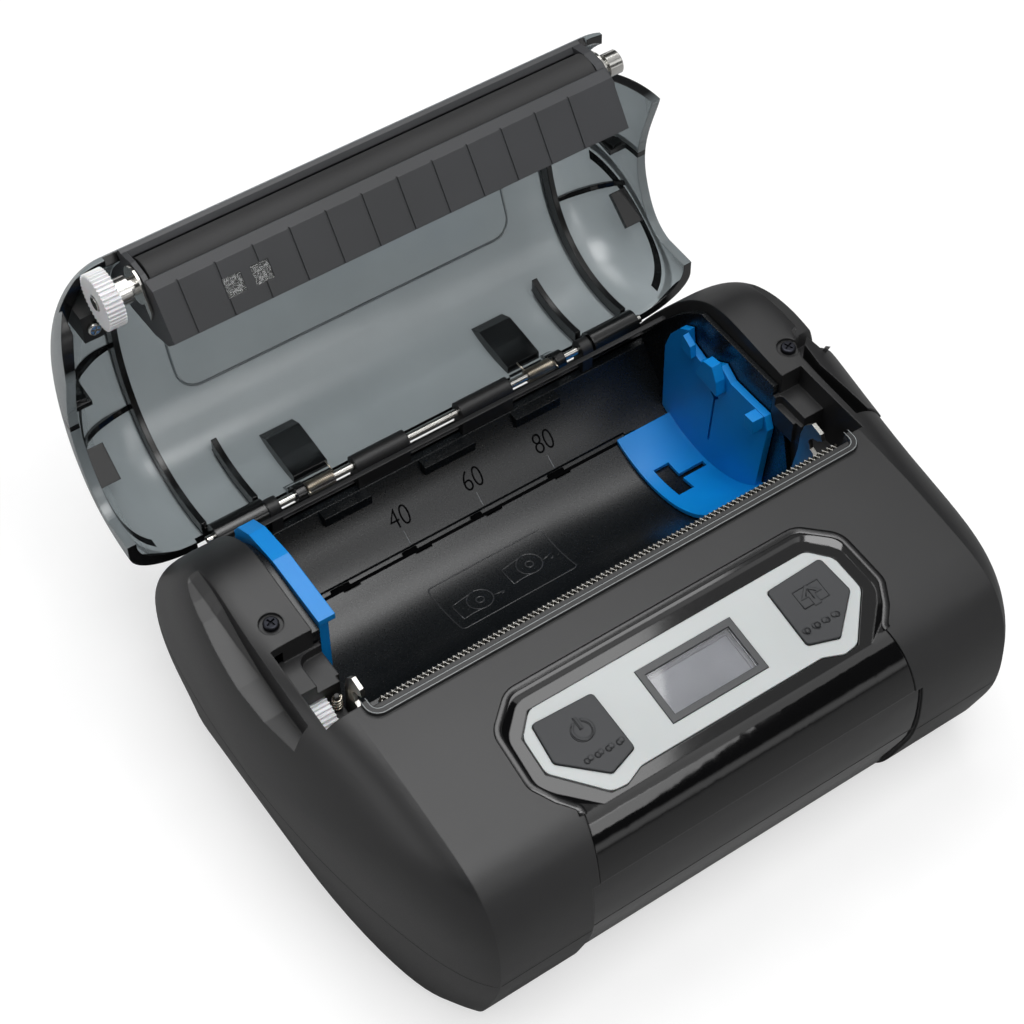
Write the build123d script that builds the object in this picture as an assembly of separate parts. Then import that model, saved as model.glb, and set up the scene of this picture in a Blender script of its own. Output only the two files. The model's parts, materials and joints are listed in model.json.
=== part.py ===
from build123d import *
from math import sin, cos, tan, radians, hypot, pi, sqrt, atan2, degrees
import os

# All sizes are millimetres. X points right, Y back and Z up. The origin is the middle of the
# case's flat underside. The lid and all it carries are drawn shut and then swung open.

# Case
crease_x = 64.0             # where the flat middle of the case meets the rounded cheeks
cheek = 16.0                # how far each cheek bulges past the crease
case_wall = 2.4
case_front = -65.0
case_back = 63.0
case_top = 61.3
floor_z = 0.0               # underside of the case, with the feet let in flush
cheek_centre = (8.0, 28.0)   # side view point that the cheeks shrink towards
floor_front = -52.0
floor_back = 54.0
seam_z = 28.0              # parting line of the case, at its widest
lip_height = 2.0
lip_wall = 1.0
fit = 0.15                  # clearance between pieces that are assembled together
running = 0.05              # radial clearance of a shaft in its bore
front_step = 0.7            # set-back of the middle of the front below the gloss insert

# Paper bay
bay_half = 60.0
bay_radius = 30.0
bay_y = 28.65
bay_z = 44.5
bay_front_z = 36.0          # top of the front end of the trough
bay_back_z = 29.6
bay_wall = 1.6
bay_end_left = 2.0
bay_end_right = 1.2
scale_zero = -55.55         # left edge of the paper
scale_widths = (40, 60, 80)
mouth_front = -14.5
lid_seat_z = 30.4           # top of the back wall between the shoulders

# Wells beside the bay, where the roller ends and the gears meet the case
well_left = 69.6
well_right = 65.2
well_front = -13.1
well_back = 8.0
well_floor_z = 46.0
ledge_high_z = 54.5
ledge_low_z = 52.0
ledge_front = -0.7

# Shoulders. Each section of the wing's seat is (y, floor height, outer foot, inner brow).
wing_seat_sections = [(41.0, 59.6, 73.0, 71.4), (34.0, 57.6, 73.2, 71.0), (29.0, 57.5, 73.2, 71.0),
                      (24.0, 56.9, 73.2, 71.2),
                      (17.0, 54.7, 72.8, 71.5), (9.0, 52.4, 72.2, 71.6), (0.0, 51.2, 72.0, 71.6),
                      (-9.5, 51.5, 71.9, 71.6)]
pocket_near = 66.6
pocket_floor = 50.5
shoulder_screw = (66.1, 13.6)
floor_screws = [(58, -44), (66.5, 36)]

# Hinge
hinge_y = 57.2
hinge_z = 35.7
lid_open = 91.5
pin_radius = 1.0
sleeve_radius = 2.3
sleeve_near = 7.1
sleeve_far = 21.1
spring_near = 26.0
spring_far = 33.4
spring_wire = 0.45
spring_turn_radius = 1.42
collar_near = 33.9
collar_far = 36.3
knuckle_near = 40.9
knuckle_far = 43.8
barrel_near = 44.1
barrel_far = 57.0
barrel_radius = 3.1

# Lid
lid_half = 60.0
lid_wing = 16.0
lid_wall = 2.2

# Platen and its holder, in the shut position
platen_y = -7.5
platen_z = 52.4
platen_radius = 5.0
platen_cavity = 5.7
shaft_radius = 2.0
holder_left = -57.0
holder_right = 56.0
shaft_right = 63.0
platen_gear_left = -67.5
platen_gear_right = -63.6
collar_radius = 3.0

# Gears
gear_module = 0.5
gear_gap = 0.1              # added to each centre distance
idler_left = -66.9
idler_right = -62.7
wheel_left = -70.6
wheel_right = -68.2
motor_radius = 8.0

post_radius = 1.2
motor_left = -59.4
motor_right = -36.0
idler_dir = -54.0           # from the platen to the idler, degrees above the Y axis
wheel_dir = 235.0
pinion_dir = 225.0

# Latch
hook_pivot_y = -4.0
hook_pivot_z = 34.0
hook_shaft_radius = 1.5
hook_near = 58.0
hook_far = 59.0
latch_swing = 8.0

# Sensor bar under the platen holder
bar_front = (-11.2, 45.1)
bar_back = (-1.5, 38.5)
sensor_places = (-40.5, -34.0)

# Print head
head_face = -12.65
head_top = 56.6
head_low = 40.0
head_half = 54.0
head_pivot_y = -18.0
head_pivot_z = 38.0

# Control panel. Its plane starts at panel_y, panel_z and falls to the front.
panel_y = -35.1
panel_z = 58.3
panel_slope = 8.4
panel_thick = 1.4
button_travel = 0.6
screen_u = 10.41
screen_v = (2.32, 12.48)
frame_u = 11.96
frame_v = (0.62, 14.05)
board_drop = 7.4            # from the panel down to the button board
gloss_low_z = 43.0          # lower end of the gloss band
recess_round = 5.0          # corners of the recess round the panel
panel_round = 2.8           # corners of the panel itself

# Panel outlines, as (u, v) with u to the right and v to the front in the panel's plane
panel_corners = [(34.5, -3.5), (38.9, 1.0), (39.3, 9.5), (30.5, 19.3), (27.0, 19.7), (22.5, 17.9)]
recess_corners = [(35.5, -6.3), (41.5, -0.5), (42.3, 10.9), (40.0, 14.0), (32.5, 21.5), (27.0, 22.0)]
surround_corners = [(36.0, -8.8), (43.0, -2.5), (43.7, 10.5), (41.3, 15.0), (37.6, 19.0), (41.7, 40.0)]
button_corners = [(36.15, -.56), (21.73, 0.0), (21.39, 14.30), (28.38, 16.55), (37.11, 8.74)]

# Feet, battery, main board and sockets
foot_radius = 5.0
foot_pocket_top = 1.1
foot_places = [(-46, -40), (46, -40), (-44, 46), (44, 46)]
battery_half = 36.0
battery_front = 9.0
battery_back = 39.0
battery_low = floor_z + case_wall + .3
battery_high = 11.6
main_board_z = 10.0
jack_y = -34.0
socket_y = -20.0
socket_z = 17.0

# Movable paper guide
guide_inner = 56.6
guide_thick = 1.8
guide_foot_left = 41.3
guide_travel = 72.0


def block(x0, x1, y0, y1, z0, z1):
    """Rectangular block between two corners."""
    return Pos((x0 + x1) / 2, (y0 + y1) / 2, (z0 + z1) / 2) * Box(x1 - x0, y1 - y0, z1 - z0)


def rod(x0, x1, y, z, radius):
    """Round bar along X."""
    turned = Rot(0, 90, 0) * Cylinder(radius, x1 - x0)
    return Pos((x0 + x1) / 2, y, z) * turned


def post(x, y, z0, z1, radius):
    """Round bar along Z."""
    return Pos(x, y, (z0 + z1) / 2) * Cylinder(radius, z1 - z0)


def side_plate(points, x0, x1):
    """Plate of constant outline, given as (y, z) corners, between two X positions."""
    wire = Polyline([Vector(x0, y, z) for y, z in points], close=True)
    return extrude(make_face(wire), amount=x1 - x0, dir=(1, 0, 0))


def both_sides(shape):
    """A shape on the right together with its mirror image on the left."""
    return shape + mirror(shape, Plane.YZ)


def swung(shape, angle=-lid_open):
    """A piece of the shut lid, turned about the hinge to the open rest position."""
    return shape.rotate(Axis((0, hinge_y, hinge_z), (1, 0, 0)), angle)


# Case body. Each side section is one smooth outline, and the cheeks are lofted from copies
# of it that shrink towards a centre line as they move out. The third number of a point says
# how late it follows: below 1 it is drawn in early, above 1 it stays out longer.


def case_outline():
    front = [(8.0, 4.5, .74), (3.6, 15.0, .75), (.4, 26.0, .78), (0.0, 37.0, .80), (2.0, 46.5, .82),
             (8.0, 54.6, .82)]
    middle = [(-46.0, 3.4, .85), (-30.0, 1.5, .9), (-13.0, .8, 1.1), (6.0, .9, 1.6), (20.0, 0.0, 1.9),
              (32.0, .3, 1.9)]
    back = [(22.0, 55.5, 1.9), (13.5, 45.5, 1.8), (5.5, 33.5, 1.6), (0.0, 21.0, 1.3), (1.0, 8.0, 1.0)]
    points = [(case_front + y, z, late) for y, z, late in front]
    points += [(y, case_top - drop, late) for y, drop, late in middle]
    return points + [(case_back - y, z, late) for y, z, late in back]


def inward(points, before, after, distance):
    """The points, each moved inward across the line through its neighbours."""
    moved = []
    for i, (y, z, *rest) in enumerate(points):
        near = points[i - 1] if i else before
        far = points[i + 1] if i + 1 < len(points) else after
        dy, dz = far[0] - near[0], far[1] - near[1]
        length = hypot(dy, dz)
        moved.append((y + distance * dz / length, z - distance * dy / length, *rest))
    return moved


def case_section(x, angle, inset):
    front, back = (floor_front, floor_z), (floor_back, floor_z)
    points = inward(case_outline(), front, back, inset)
    foot = [(floor_front + inset * .6, floor_z + inset, .85), (floor_back - inset * .6, floor_z + inset, 1)]
    fall = 1 - cos(radians(angle))

    def place(y, z, late):
        share = fall ** late
        return Vector(x, y + (cheek_centre[0] - y) * share, z + (cheek_centre[1] - z) * share)

    start, end = place(*foot[0]), place(*foot[1])
    return Face(Wire([Spline([start] + [place(*p) for p in points] + [end]), Line(end, start)]))


def case_body(inset):
    """Solid inside the case skin, moved in by the given distance."""
    middle = extrude(case_section(-crease_x, 0, inset), amount=2 * crease_x, dir=(1, 0, 0))
    bulge = cheek - inset
    angles = (0, 20, 38, 54, 68, 79, 86)
    cap = loft([case_section(crease_x + bulge * sin(radians(a)), a, inset) for a in angles])
    return middle + both_sides(cap)


# Control panel

def panel_point(u, v, height=0.0):
    """A point given in the panel's plane, and its height above that plane."""
    slope = radians(panel_slope)
    return Vector(u, panel_y - v * cos(slope) - height * sin(slope),
                  panel_z - v * sin(slope) + height * cos(slope))


def panel_normal():
    slope = radians(panel_slope)
    return Vector(0, -sin(slope), cos(slope))


def panel_slab(corners, low, high, radius=0.0):
    """Plate of the given corners in the panel's plane, between two heights."""
    face = make_face(Polyline([panel_point(u, v, low) for u, v in corners], close=True))
    slab = extrude(face, amount=high - low, dir=panel_normal())
    if radius:
        slab = fillet(slab.edges().filter_by(lambda e: abs(e.tangent_at(.5).dot(panel_normal())) > .99),
                      radius)
    return slab


def mirrored(corners):
    """Corners of a right half, closed by their mirror image on the left."""
    return corners + [(-u, v) for u, v in reversed(corners)]


def panel_box(u0, u1, v0, v1, low, high):
    return panel_slab([(u0, v0), (u1, v0), (u1, v1), (u0, v1)], low, high)


def surround_prism(grow=0.0):
    """Everything above and below the gloss surround."""
    corners = [(u + grow, v - grow if v < 0 else v) for u, v in surround_corners]
    return panel_slab(mirrored(corners), -30, 6)


def rounded_face(corners, height, radius):
    """Face with rounded corners, parallel to the panel."""
    face = make_face(Polyline([panel_point(u, v, height) for u, v in corners], close=True))
    return fillet(face.vertices(), radius)


def panel_window():
    """The flat-bottomed recess round the grey panel, cut with sloping edges and rounded corners."""
    floor = rounded_face(mirrored(recess_corners), 0, recess_round)
    wide = [(u * 1.055, v - 2.6 if v < 5 else v + 1.5) for u, v in recess_corners]
    rim = rounded_face(mirrored(wide), 1.3, recess_round)
    above = extrude(rim, amount=3.7, dir=panel_normal())
    return loft([floor, rim]) + above


def gloss_insert(skin):
    """Surround of the panel that also runs down the front as a wide band."""
    shape = surround_prism(-fit) & skin
    shape = shape & block(-50, 50, -80, 0, gloss_low_z, 80)
    shape -= panel_window()
    shape -= panel_slab(mirrored([(u + fit, v - fit if v < 5 else v + fit) for u, v in panel_corners]),
                        -panel_thick, 5)
    for side in (1, -1):
        shape -= panel_slab([(side * u, v) for u, v in spread(button_corners, .5)], -9, 5)
    opening = panel_box(-frame_u - fit, frame_u + fit, frame_v[0] - fit, frame_v[1] + fit, -9, 5)
    return largest(shape - opening)


def largest(shape):
    return max(shape.solids(), key=lambda s: s.volume)


def spread(corners, grow):
    """Corners of a convex outline moved away from their middle."""
    mu = sum(u for u, v in corners) / len(corners)
    mv = sum(v for u, v in corners) / len(corners)
    out = []
    for u, v in corners:
        reach = hypot(u - mu, v - mv)
        out.append((mu + (u - mu) * (1 + grow / reach), mv + (v - mv) * (1 + grow / reach)))
    return out


def control_panel():
    """Light frame that holds the display and both buttons."""
    shape = panel_slab(mirrored(panel_corners), -panel_thick + fit, .3, panel_round)
    for side in (1, -1):
        shape -= panel_slab([(side * u, v) for u, v in button_corners], -5, 5, 1.0)
    return shape - panel_box(-frame_u, frame_u, *frame_v, -5, 5)


def display_frame():
    outside = panel_box(-frame_u + fit / 2, frame_u - fit / 2, frame_v[0] + fit / 2, frame_v[1] - fit / 2,
                        -1.4, .55)
    return outside - panel_box(-screen_u, screen_u, *screen_v, -5, 5)


def display_window():
    return panel_box(-screen_u + .1, screen_u - .1, screen_v[0] + .1, screen_v[1] - .1, -.9, .15)


def display_module():
    glass = panel_box(-frame_u, frame_u, *frame_v, -board_drop + 1.7, -1.55)
    return glass - panel_box(-9.6, 9.6, 3, 12, -1.9, 0)


def button(side):
    """Five-sided key with a raised sign, four raised dots and a stem down to its switch."""
    cap = panel_slab([(side * u, v) for u, v in spread(button_corners, -.2)], -panel_thick - .2, .9, 1.0)
    stem_u, stem_v = side * 29.0, 7.0
    stem = panel_box(stem_u - 2, stem_u + 2, stem_v - 2, stem_v + 2, -board_drop + 3.6, -panel_thick - .2)
    shape = cap + stem
    for i in range(4):
        shape += panel_disc(side * (22.9 + 2.45 * i), 11.6, .55, .8, 1.25)
    if side < 0:
        ring = panel_disc(-28.1, 5.8, 2.4, .8, 1.1) - panel_disc(-28.1, 5.8, 1.9, .5, 2)
        ring -= panel_box(-28.9, -27.3, 2.5, 5.0, .5, 2)
        return shape + ring + panel_box(-28.35, -27.85, 2.9, 5.6, .8, 1.1)
    arrow = panel_slab([(26.6, 5.6), (29.2, 3.0), (31.8, 5.6)], .8, 1.1)
    return shape + arrow + panel_box(28.4, 30.0, 5.6, 8.0, .8, 1.1)


def panel_disc(u, v, radius, low, high):
    place = Plane(origin=panel_point(u, v, (low + high) / 2), x_dir=(1, 0, 0), z_dir=panel_normal())
    return place * Cylinder(radius, high - low)


def button_board():
    shape = panel_box(-38, 38, -4.5, 16, -board_drop, -board_drop + 1.2)
    for u in (-35, 35):
        shape -= panel_disc(u, 14, 1.2, -board_drop - 1, -board_drop + 2)
    return shape


def key_switches():
    shapes = []
    for side in (1, -1):
        u, v = side * 29.0, 7.0
        body = panel_box(u - 3, u + 3, v - 3, v + 3, -board_drop + 1.2, -board_drop + 2.5)
        shapes.append(body + panel_disc(u, v, 1.6, -board_drop + 2.5, -board_drop + 3.5 - button_travel))
    return shapes


# Upper and lower case

def cheek_walls(z0, z1):
    """Walls on both sides of the bay."""
    return both_sides(block(bay_half, bay_half + case_wall, -30, case_back, z0, z1))


def mouth():
    """The bay's opening through the top and the back of the case."""
    top = block(-bay_half, bay_half, mouth_front, case_back + 20, bay_z - 2, 80)
    back = block(-bay_half, bay_half, 50, case_back + 20, lid_seat_z, 80)
    return top + back


def well(side, width):
    """Pocket beside the bay, deeper and undercut in front for the swinging gear."""
    x0, x1 = sorted((side * (bay_half - .1), side * width))
    top = block(x0, x1, well_front, well_back, well_floor_z, 80)
    reach = hinge_y - platen_y + 8.6
    under = block(x0, x1, hinge_y - reach, well_front + 1, well_floor_z, case_top - case_wall - 1.3)
    return top + under


def well_ledges(side, width):
    """Steps behind the well, with a round-cornered seat next to the bay."""
    x0, x1 = sorted((side * (bay_half - 1.5), side * width))
    block_back = block(x0, x1, ledge_front, well_back + .5, well_floor_z, ledge_high_z)
    s0, s1 = sorted((side * (bay_half - 2), side * (width - 5.1)))
    seat = block(s0, s1, ledge_front - 1, well_back - .5, ledge_low_z, 60)
    corner = seat.edges().filter_by(Axis.Z).sort_by(Axis.Y)[-2:].sort_by(Axis.X)[0 if side < 0 else -1]
    seat = fillet(corner, min(2.8, (s1 - s0) * .45))
    return block_back - seat


def wing_seat(side):
    """Hollow along the shoulder that takes the lid's wing and deepens to the front."""
    sections = []
    for y, floor, foot, brow in wing_seat_sections:
        top = case_top + 6
        corners = [(brow, top), (90, top), (90, floor - 1), (foot, floor),
                   (brow + .2, floor + (foot - brow) * .8)]
        sections.append(make_face(Polyline([Vector(side * x, y, z) for x, z in corners], close=True)))
    return loft(sections, ruled=True)


def lever_pocket():
    """Pocket on the right shoulder with a rounded back end."""
    outline = [(pocket_near, -9.4), (90, -9.4), (90, 18.8), (74, 18.8), (69.8, 17.2), (67.0, 10.0)]
    face = make_face(Polyline([Vector(x, y, pocket_floor) for x, y in outline], close=True))
    return extrude(face, amount=30, dir=(0, 0, 1))


def lip_bead(y_out, radius, z0, z1, wide):
    """Raised bead round the front and the sides of the mouth."""
    outer = block(-bay_half - 1.6, bay_half + 1.6, y_out, -11.5, z0, z1)
    outer = fillet(outer.edges().filter_by(Axis.Z).sort_by(Axis.Y)[:2], radius)
    inner = block(-bay_half - 1.6 + wide, bay_half + 1.6 - wide, y_out + wide, -10, z0 - 1, z1 + 1)
    inner = fillet(inner.edges().filter_by(Axis.Z).sort_by(Axis.Y)[:2], radius - wide * .8)
    return outer - inner


def screw_dimple(x, y, z):
    return post(x, y, z - 1.0, z + 6, 2.6) + post(x, y, z - 8, z, 1.0)


def upper_case(outer, inner, skin_deep, under_skin):
    """Top half: shoulders, front roof with the mouth's bead, wells, scoop and pockets."""
    shape = outer - inner
    inside = outer & block(-90, 90, -90, 90, seam_z, 90)
    well_side = block(bay_half, bay_half + 7, -15.6, well_back + 2, well_floor_z - 2, 80)
    roof = cheek_walls(seam_z, 80) + both_sides(well_side)
    shape += roof & inside
    shape += block(-82, -well_left, -14, 26, 47.0, 70) & inside
    shape += block(pocket_near - 1.4, 90, -11.4, 20, pocket_floor - 2, 80) & inside
    shape = shape & block(-90, 90, -90, 90, seam_z, 90)
    shape += lip_bead(-17.6, 3.2, 59.6, 61.4, 1.5)
    shape -= mouth() + well(-1, well_left) + well(1, well_right)
    shape -= wing_seat(-1) & block(-90, -well_left, -90, 90, 0, 90)
    shape -= wing_seat(1) & block(well_left, 90, 17, 90, 0, 90)
    shape -= lever_pocket()
    shape += (well_ledges(-1, well_left) + well_ledges(1, well_right))
    shape -= both_sides(block(bay_half - 2, hook_far + .3, ledge_front - 1, ledge_front + 1.6,
                              well_floor_z - .1, ledge_high_z))
    shape -= surround_prism(0) & block(-60, 60, -90, 0, gloss_low_z, 80)
    shape -= front_recess(outer, skin_deep)
    for side in (1, -1):
        shape -= screw_dimple(side * shoulder_screw[0], shoulder_screw[1], case_top - .2)
    shape -= lever_room() + hinge_room() + drive_room()
    shape -= rod(-well_left, 75, hook_pivot_y, hook_pivot_z, hook_shaft_radius + running)
    shape -= under_skin
    shape += hinge_sleeves()
    return largest(shape)


def lever_room():
    """Way of the lever's arm through the floor of its pocket."""
    return block(69.4, 74.6, -9.4, 2.5, seam_z - 1, pocket_floor + 1)


def drive_room():
    """Space for the idler under the left ledge, and the hole for the motor's shaft."""
    idler = rod(idler_left - .5, idler_right + .3, idler_y, idler_z, 6.9)
    return idler + rod(-bay_half - case_wall - 1, -bay_half + 1, motor_y, motor_z, 1.6)


def hinge_room():
    """Space round the hinge line for the lid's barrels."""
    return rod(-bay_half, bay_half, hinge_y, hinge_z, barrel_radius + .6)


def front_recess(outer, skin_deep):
    """Shallow set-back in the middle of the front, below the gloss band."""
    zone = block(-41.7, 41.7, -90, -50, 3.5, gloss_low_z)
    return (outer & zone) - skin_deep


def hinge_sleeves():
    """Tubes on the back wall that carry the hinge pin."""
    shape = None
    for near, far in ((sleeve_near, sleeve_far), (knuckle_near, knuckle_far)):
        tube = rod(near, far, hinge_y, hinge_z, sleeve_radius)
        web = side_plate([(hinge_y - 2.2, bay_back_z + .1), (hinge_y + 1.4, bay_back_z + .1),
                          (hinge_y + 1.6, 35), (hinge_y - 2.2, 35.7)], near, far)
        part = tube + web
        shape = part if shape is None else shape + part
    return both_sides(shape) - rod(-60, 60, hinge_y, hinge_z, pin_radius + running)


def lower_case(outer, inner, skin_deep, lip_out, lip_in):
    """Bottom half with screw posts, foot pockets and the battery opening."""
    shape = (outer - inner) & block(-90, 90, -90, 90, 0, seam_z)
    lip = (lip_out - lip_in) & block(-90, 90, -90, 90, seam_z - 3, seam_z + lip_height)
    lip -= block(-bay_half - 3, bay_half + 3, 30, 90, seam_z - .1, seam_z + 9)
    shape += lip
    for x, y in floor_screws:
        for side in (1, -1):
            shape += post(side * x, y, floor_z + case_wall - .5, seam_z - .2, 3.6) & inner
    shape += both_sides(block(bay_half, bay_half + case_wall, -24, 50, floor_z + 1, seam_z - fit)) & outer
    shape += board_posts()
    for x, y in floor_screws:
        for side in (1, -1):
            shape -= post(side * x, y, -1, floor_z + 3.2, 2.7) + post(side * x, y, 0, seam_z + 1, 1.0)
    for x, y in foot_places:
        shape -= post(x, y, 0, foot_pocket_top, foot_radius + fit)
    shape -= battery_opening(0) + battery_opening(-2).moved(Location((0, 0, 1.6)))
    shape -= front_recess(outer, skin_deep)
    shape -= socket_holes() + drive_room()
    return largest(shape)


def battery_opening(grow):
    """Opening in the floor; its lower half is wider so that the cover lies on a ledge."""
    return block(-battery_half - 4 - grow, battery_half + 4 + grow, battery_front - 4 - grow,
                 battery_back + 4 + grow,
                 floor_z - 1, floor_z + 1.4)


def battery_cover():
    """Cover in the floor, with a raised middle, a hook in front and a thumb notch behind."""
    half, front, back = battery_half + 4 - fit, battery_front - 4 + fit, battery_back + 4 - fit
    plate = block(-half, half, front, back, floor_z, floor_z + 1.3)
    raised = block(2.35 - half, half - 2.35, front + 2.05, back - 2.05, floor_z + 1.3, floor_z + case_wall)
    neck = block(-6, 6, battery_front - 1.8, battery_front, floor_z + 1.3, floor_z + case_wall + 1.2)
    hook = block(-6, 6, battery_front - 5.5, battery_front, floor_z + case_wall + .1,
                 floor_z + case_wall + 1.2)
    notch = block(-9, 9, battery_back - 2, battery_back + 1, floor_z - 1, floor_z + .5)
    return plate + raised + neck + hook - notch


def battery_pack():
    shape = block(-battery_half, battery_half, battery_front, battery_back, battery_low + 1.1, battery_high)
    shape = fillet(shape.edges().filter_by(Axis.Y), 1.5)
    return shape - block(battery_half - 6, battery_half + 1, 20, 30, battery_high - 2, battery_high + 1)


def rubber_feet():
    shapes = []
    for x, y in foot_places:
        foot = post(x, y, 0, foot_pocket_top - .05, foot_radius)
        shapes.append(chamfer(foot.edges().group_by(Axis.Z)[0], .4))
    return shapes


def board_posts():
    shape = None
    for x in (-44, 44):
        for y in (-50, -30):
            pin = post(x, y, floor_z + case_wall - .4, main_board_z - .02, 2.4)
            shape = pin if shape is None else shape + pin
    return shape


def main_board():
    shape = block(-50, 50, -54, -27, main_board_z, main_board_z + 1.6)
    for x in (-44, 44):
        for y in (-50, -30):
            shape -= post(x, y, 0, 20, 1.2)
    return shape


def board_chips():
    """Larger parts on the main board."""
    top = main_board_z + 1.6
    chips = [(-20, -42, 12, 12, 1.6), (4, -40, 9, 9, 1.4), (22, -44, 5, 14, 4), (-38, -40, 4, 10, 5),
             (36, -38, 6, 6, 7)]
    return [block(x - w / 2, x + w / 2, y - d / 2, y + d / 2, top, top + h) for x, y, w, d, h in chips]


def socket_holes():
    """Openings in the right cheek for the charging jack and the data socket."""
    jack = rod(66, 90, jack_y, socket_z, 3.2)
    data = block(66, 90, socket_y - 4.6, socket_y + 4.6, socket_z - 1.9, socket_z + 1.9)
    return jack + data


def dc_jack(within):
    body = block(62.9, 76, jack_y - 4.5, jack_y + 4.5, socket_z - 4.5, socket_z + 4.5) & within
    body += rod(72, 75.2, jack_y, socket_z, 3.0)
    return body - rod(66, 90, jack_y, socket_z, 2.2) + rod(65, 74, jack_y, socket_z, .7)


def data_socket():
    body = block(66.0, 75.2, socket_y - 4.4, socket_y + 4.4, socket_z - 1.7, socket_z + 1.7)
    body = fillet(body.edges().filter_by(Axis.X), 1.2)
    hole = block(68.0, 80, socket_y - 3.9, socket_y + 3.9, socket_z - 1.2, socket_z + 1.2)
    return body - hole + block(67.5, 74, socket_y - 3, socket_y + 3, socket_z - .35, socket_z + .35)


# Paper bay

def ring_slice(radius_in, radius_out, x0, x1):
    return rod(x0, x1, bay_y, bay_z, radius_out) - rod(x0 - 1, x1 + 1, bay_y, bay_z, radius_in)


def paper_bay(within):
    """Trough that the roll lies in, with its end walls and the width scale on its back."""
    half = bay_half - fit
    shape = ring_slice(bay_radius, bay_radius + bay_wall, -half, half)
    shape -= block(-80, 80, -40, bay_y, bay_front_z, 90)
    shape -= block(-80, 80, bay_y, 90, bay_back_z, 90)
    left = side_plate(bay_end_outline(59.6), -half, -half + bay_end_left)
    right = side_plate(bay_end_outline(57.0), half - bay_end_right, half)
    shape += (left + right) & rod(-half, half, bay_y, bay_z, bay_radius + .5)
    front = bay_y - sqrt(bay_radius ** 2 - (bay_z - bay_front_z) ** 2)
    shape += block(-head_half - 2, head_half + 2, -11.3, front + .2, bay_front_z + .2, bay_front_z + 1.4)
    shape += block(-head_half - 2, head_half + 2, front - 1.5, front + .2, bay_front_z - 1, bay_front_z + 1.4)
    back_notch = block(-80, 80, 41.2, 42.6, 0, 30)
    shape -= ring_slice(bay_radius - 1, bay_radius + .7, -half + 3, guide_foot_left + 3) & back_notch
    for i in range(5):
        x = scale_zero + 20.6 + 19.4 * i
        shape -= ring_slice(bay_radius - 1, bay_radius + .7, x, x + 4.4) & block(-80, 80, 40.4, 42, 0, 30)
    shape += catch_plates()
    shape -= both_sides(block(hook_near - .5, bay_half + 1, -10, .4, 26, 45))
    return largest(shape & within)


def bay_end_outline(top):
    return [(bay_y - 19.9, top), (bay_y + 10, top), (bay_y + 16.5, top - 4), (bay_y + 19, 50),
            (bay_y + 24, 44),
            (bay_y + 27.5, 30), (60, 20), (60, 10), (.3, 10), (.3, 36), (bay_y - 27.6, 36),
            (bay_y - 25.6, 44), (bay_y - 25.0, 45.8), (bay_y - 19.9, 45.8)]


def catch_plates():
    """Low plates at the top of the back wall in front of the springs and the bare pin."""
    shape = block(-5.5, 8.3, 51.6, 54.6, 27.0, 29.6)
    for x0, x1 in ((-32.2, -19.8), (19.8, 32.2)):
        shape += block(x0, x1, 51.8, 54.6, 26.8, 29.6)
    return shape


def guide_outline():
    """Side outline of the sliding guide; the trough's curve cuts its lower end."""
    return [(43.6, 14.0), (44.4, 39.2), (42.7, 44.8), (39.5, 49.5), (36.6, 51.4), (35.8, 46.8), (31.5, 45.6),
            (28.4, 47.6), (24.2, 50.5), (20.5, 48.2), (12.6, 48.4), (8.3, 48.6), (6.8, 45.0), (9.3, 14.0)]


def guide_right():
    """Sliding paper guide: a plate on a curved foot, with a stepped grip on its top."""
    inside = rod(-80, 80, bay_y, bay_z, bay_radius - .35)
    plate = side_plate(guide_outline(), guide_inner, guide_inner + guide_thick)
    grip = side_plate([(30.0, 45.0), (27.6, 50.9), (24.5, 51.6), (22.6, 48.0), (22.0, 44.0)],
                      guide_inner - 2.6, guide_inner)
    horn = side_plate([(36.9, 46.4), (36.4, 50.9), (33.6, 49.4), (33.0, 46.0)], guide_inner - 1.6,
                      guide_inner)
    tab = side_plate([(8.4, 44.5), (8.6, 48.4), (11.6, 48.2), (11.4, 44.5)], guide_inner - 3.0, guide_inner)
    shape = plate + grip + horn + tab
    shape -= side_plate([(25.1, 38.5), (25.7, 38.5), (26.5, 23.0), (25.9, 23.0)], guide_inner - 1,
                        guide_inner + 9)
    shape -= side_plate([(23.9, 39.6), (25.4, 41.1), (26.9, 39.6), (25.4, 38.1)], guide_inner - 1,
                        guide_inner + 9)
    foot = ring_slice(bay_radius - 1.35, bay_radius - .35, guide_foot_left, guide_inner + guide_thick)
    foot &= block(0, 80, 7.0, 41.0, 0, 36)
    shape = (shape + foot) & inside
    shape -= block(44.3, 48.7, 20.4, 30.4, 0, 30)
    shape -= block(48.6, 55.6, 24.6, 26.2, 0, 30)
    return largest(shape)


def guide_left():
    """Fixed paper guide: a plate on the left end wall with a broad curved top."""
    x0 = -bay_half + fit + bay_end_left + .05
    face = -55.5
    side = [(9.2, 22.5), (9.2, 59.6), (27.0, 60.3), (36.5, 58.6), (41.5, 55.6), (43.6, 52.5), (47.5, 30.0)]
    plate = side_plate(side, x0, face) & rod(-80, 80, bay_y, bay_z, bay_radius - .1)
    cap = [(9.0, 58.4), (9.0, 60.0), (27.0, 60.7), (36.8, 59.0), (42.0, 55.9), (44.2, 52.6), (43.2, 51.4),
           (41.0, 54.2),
           (36.0, 57.2), (27.0, 58.9)]
    return largest(plate + side_plate(cap, x0, face + 1.6))


# Tear bar and print head

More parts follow.
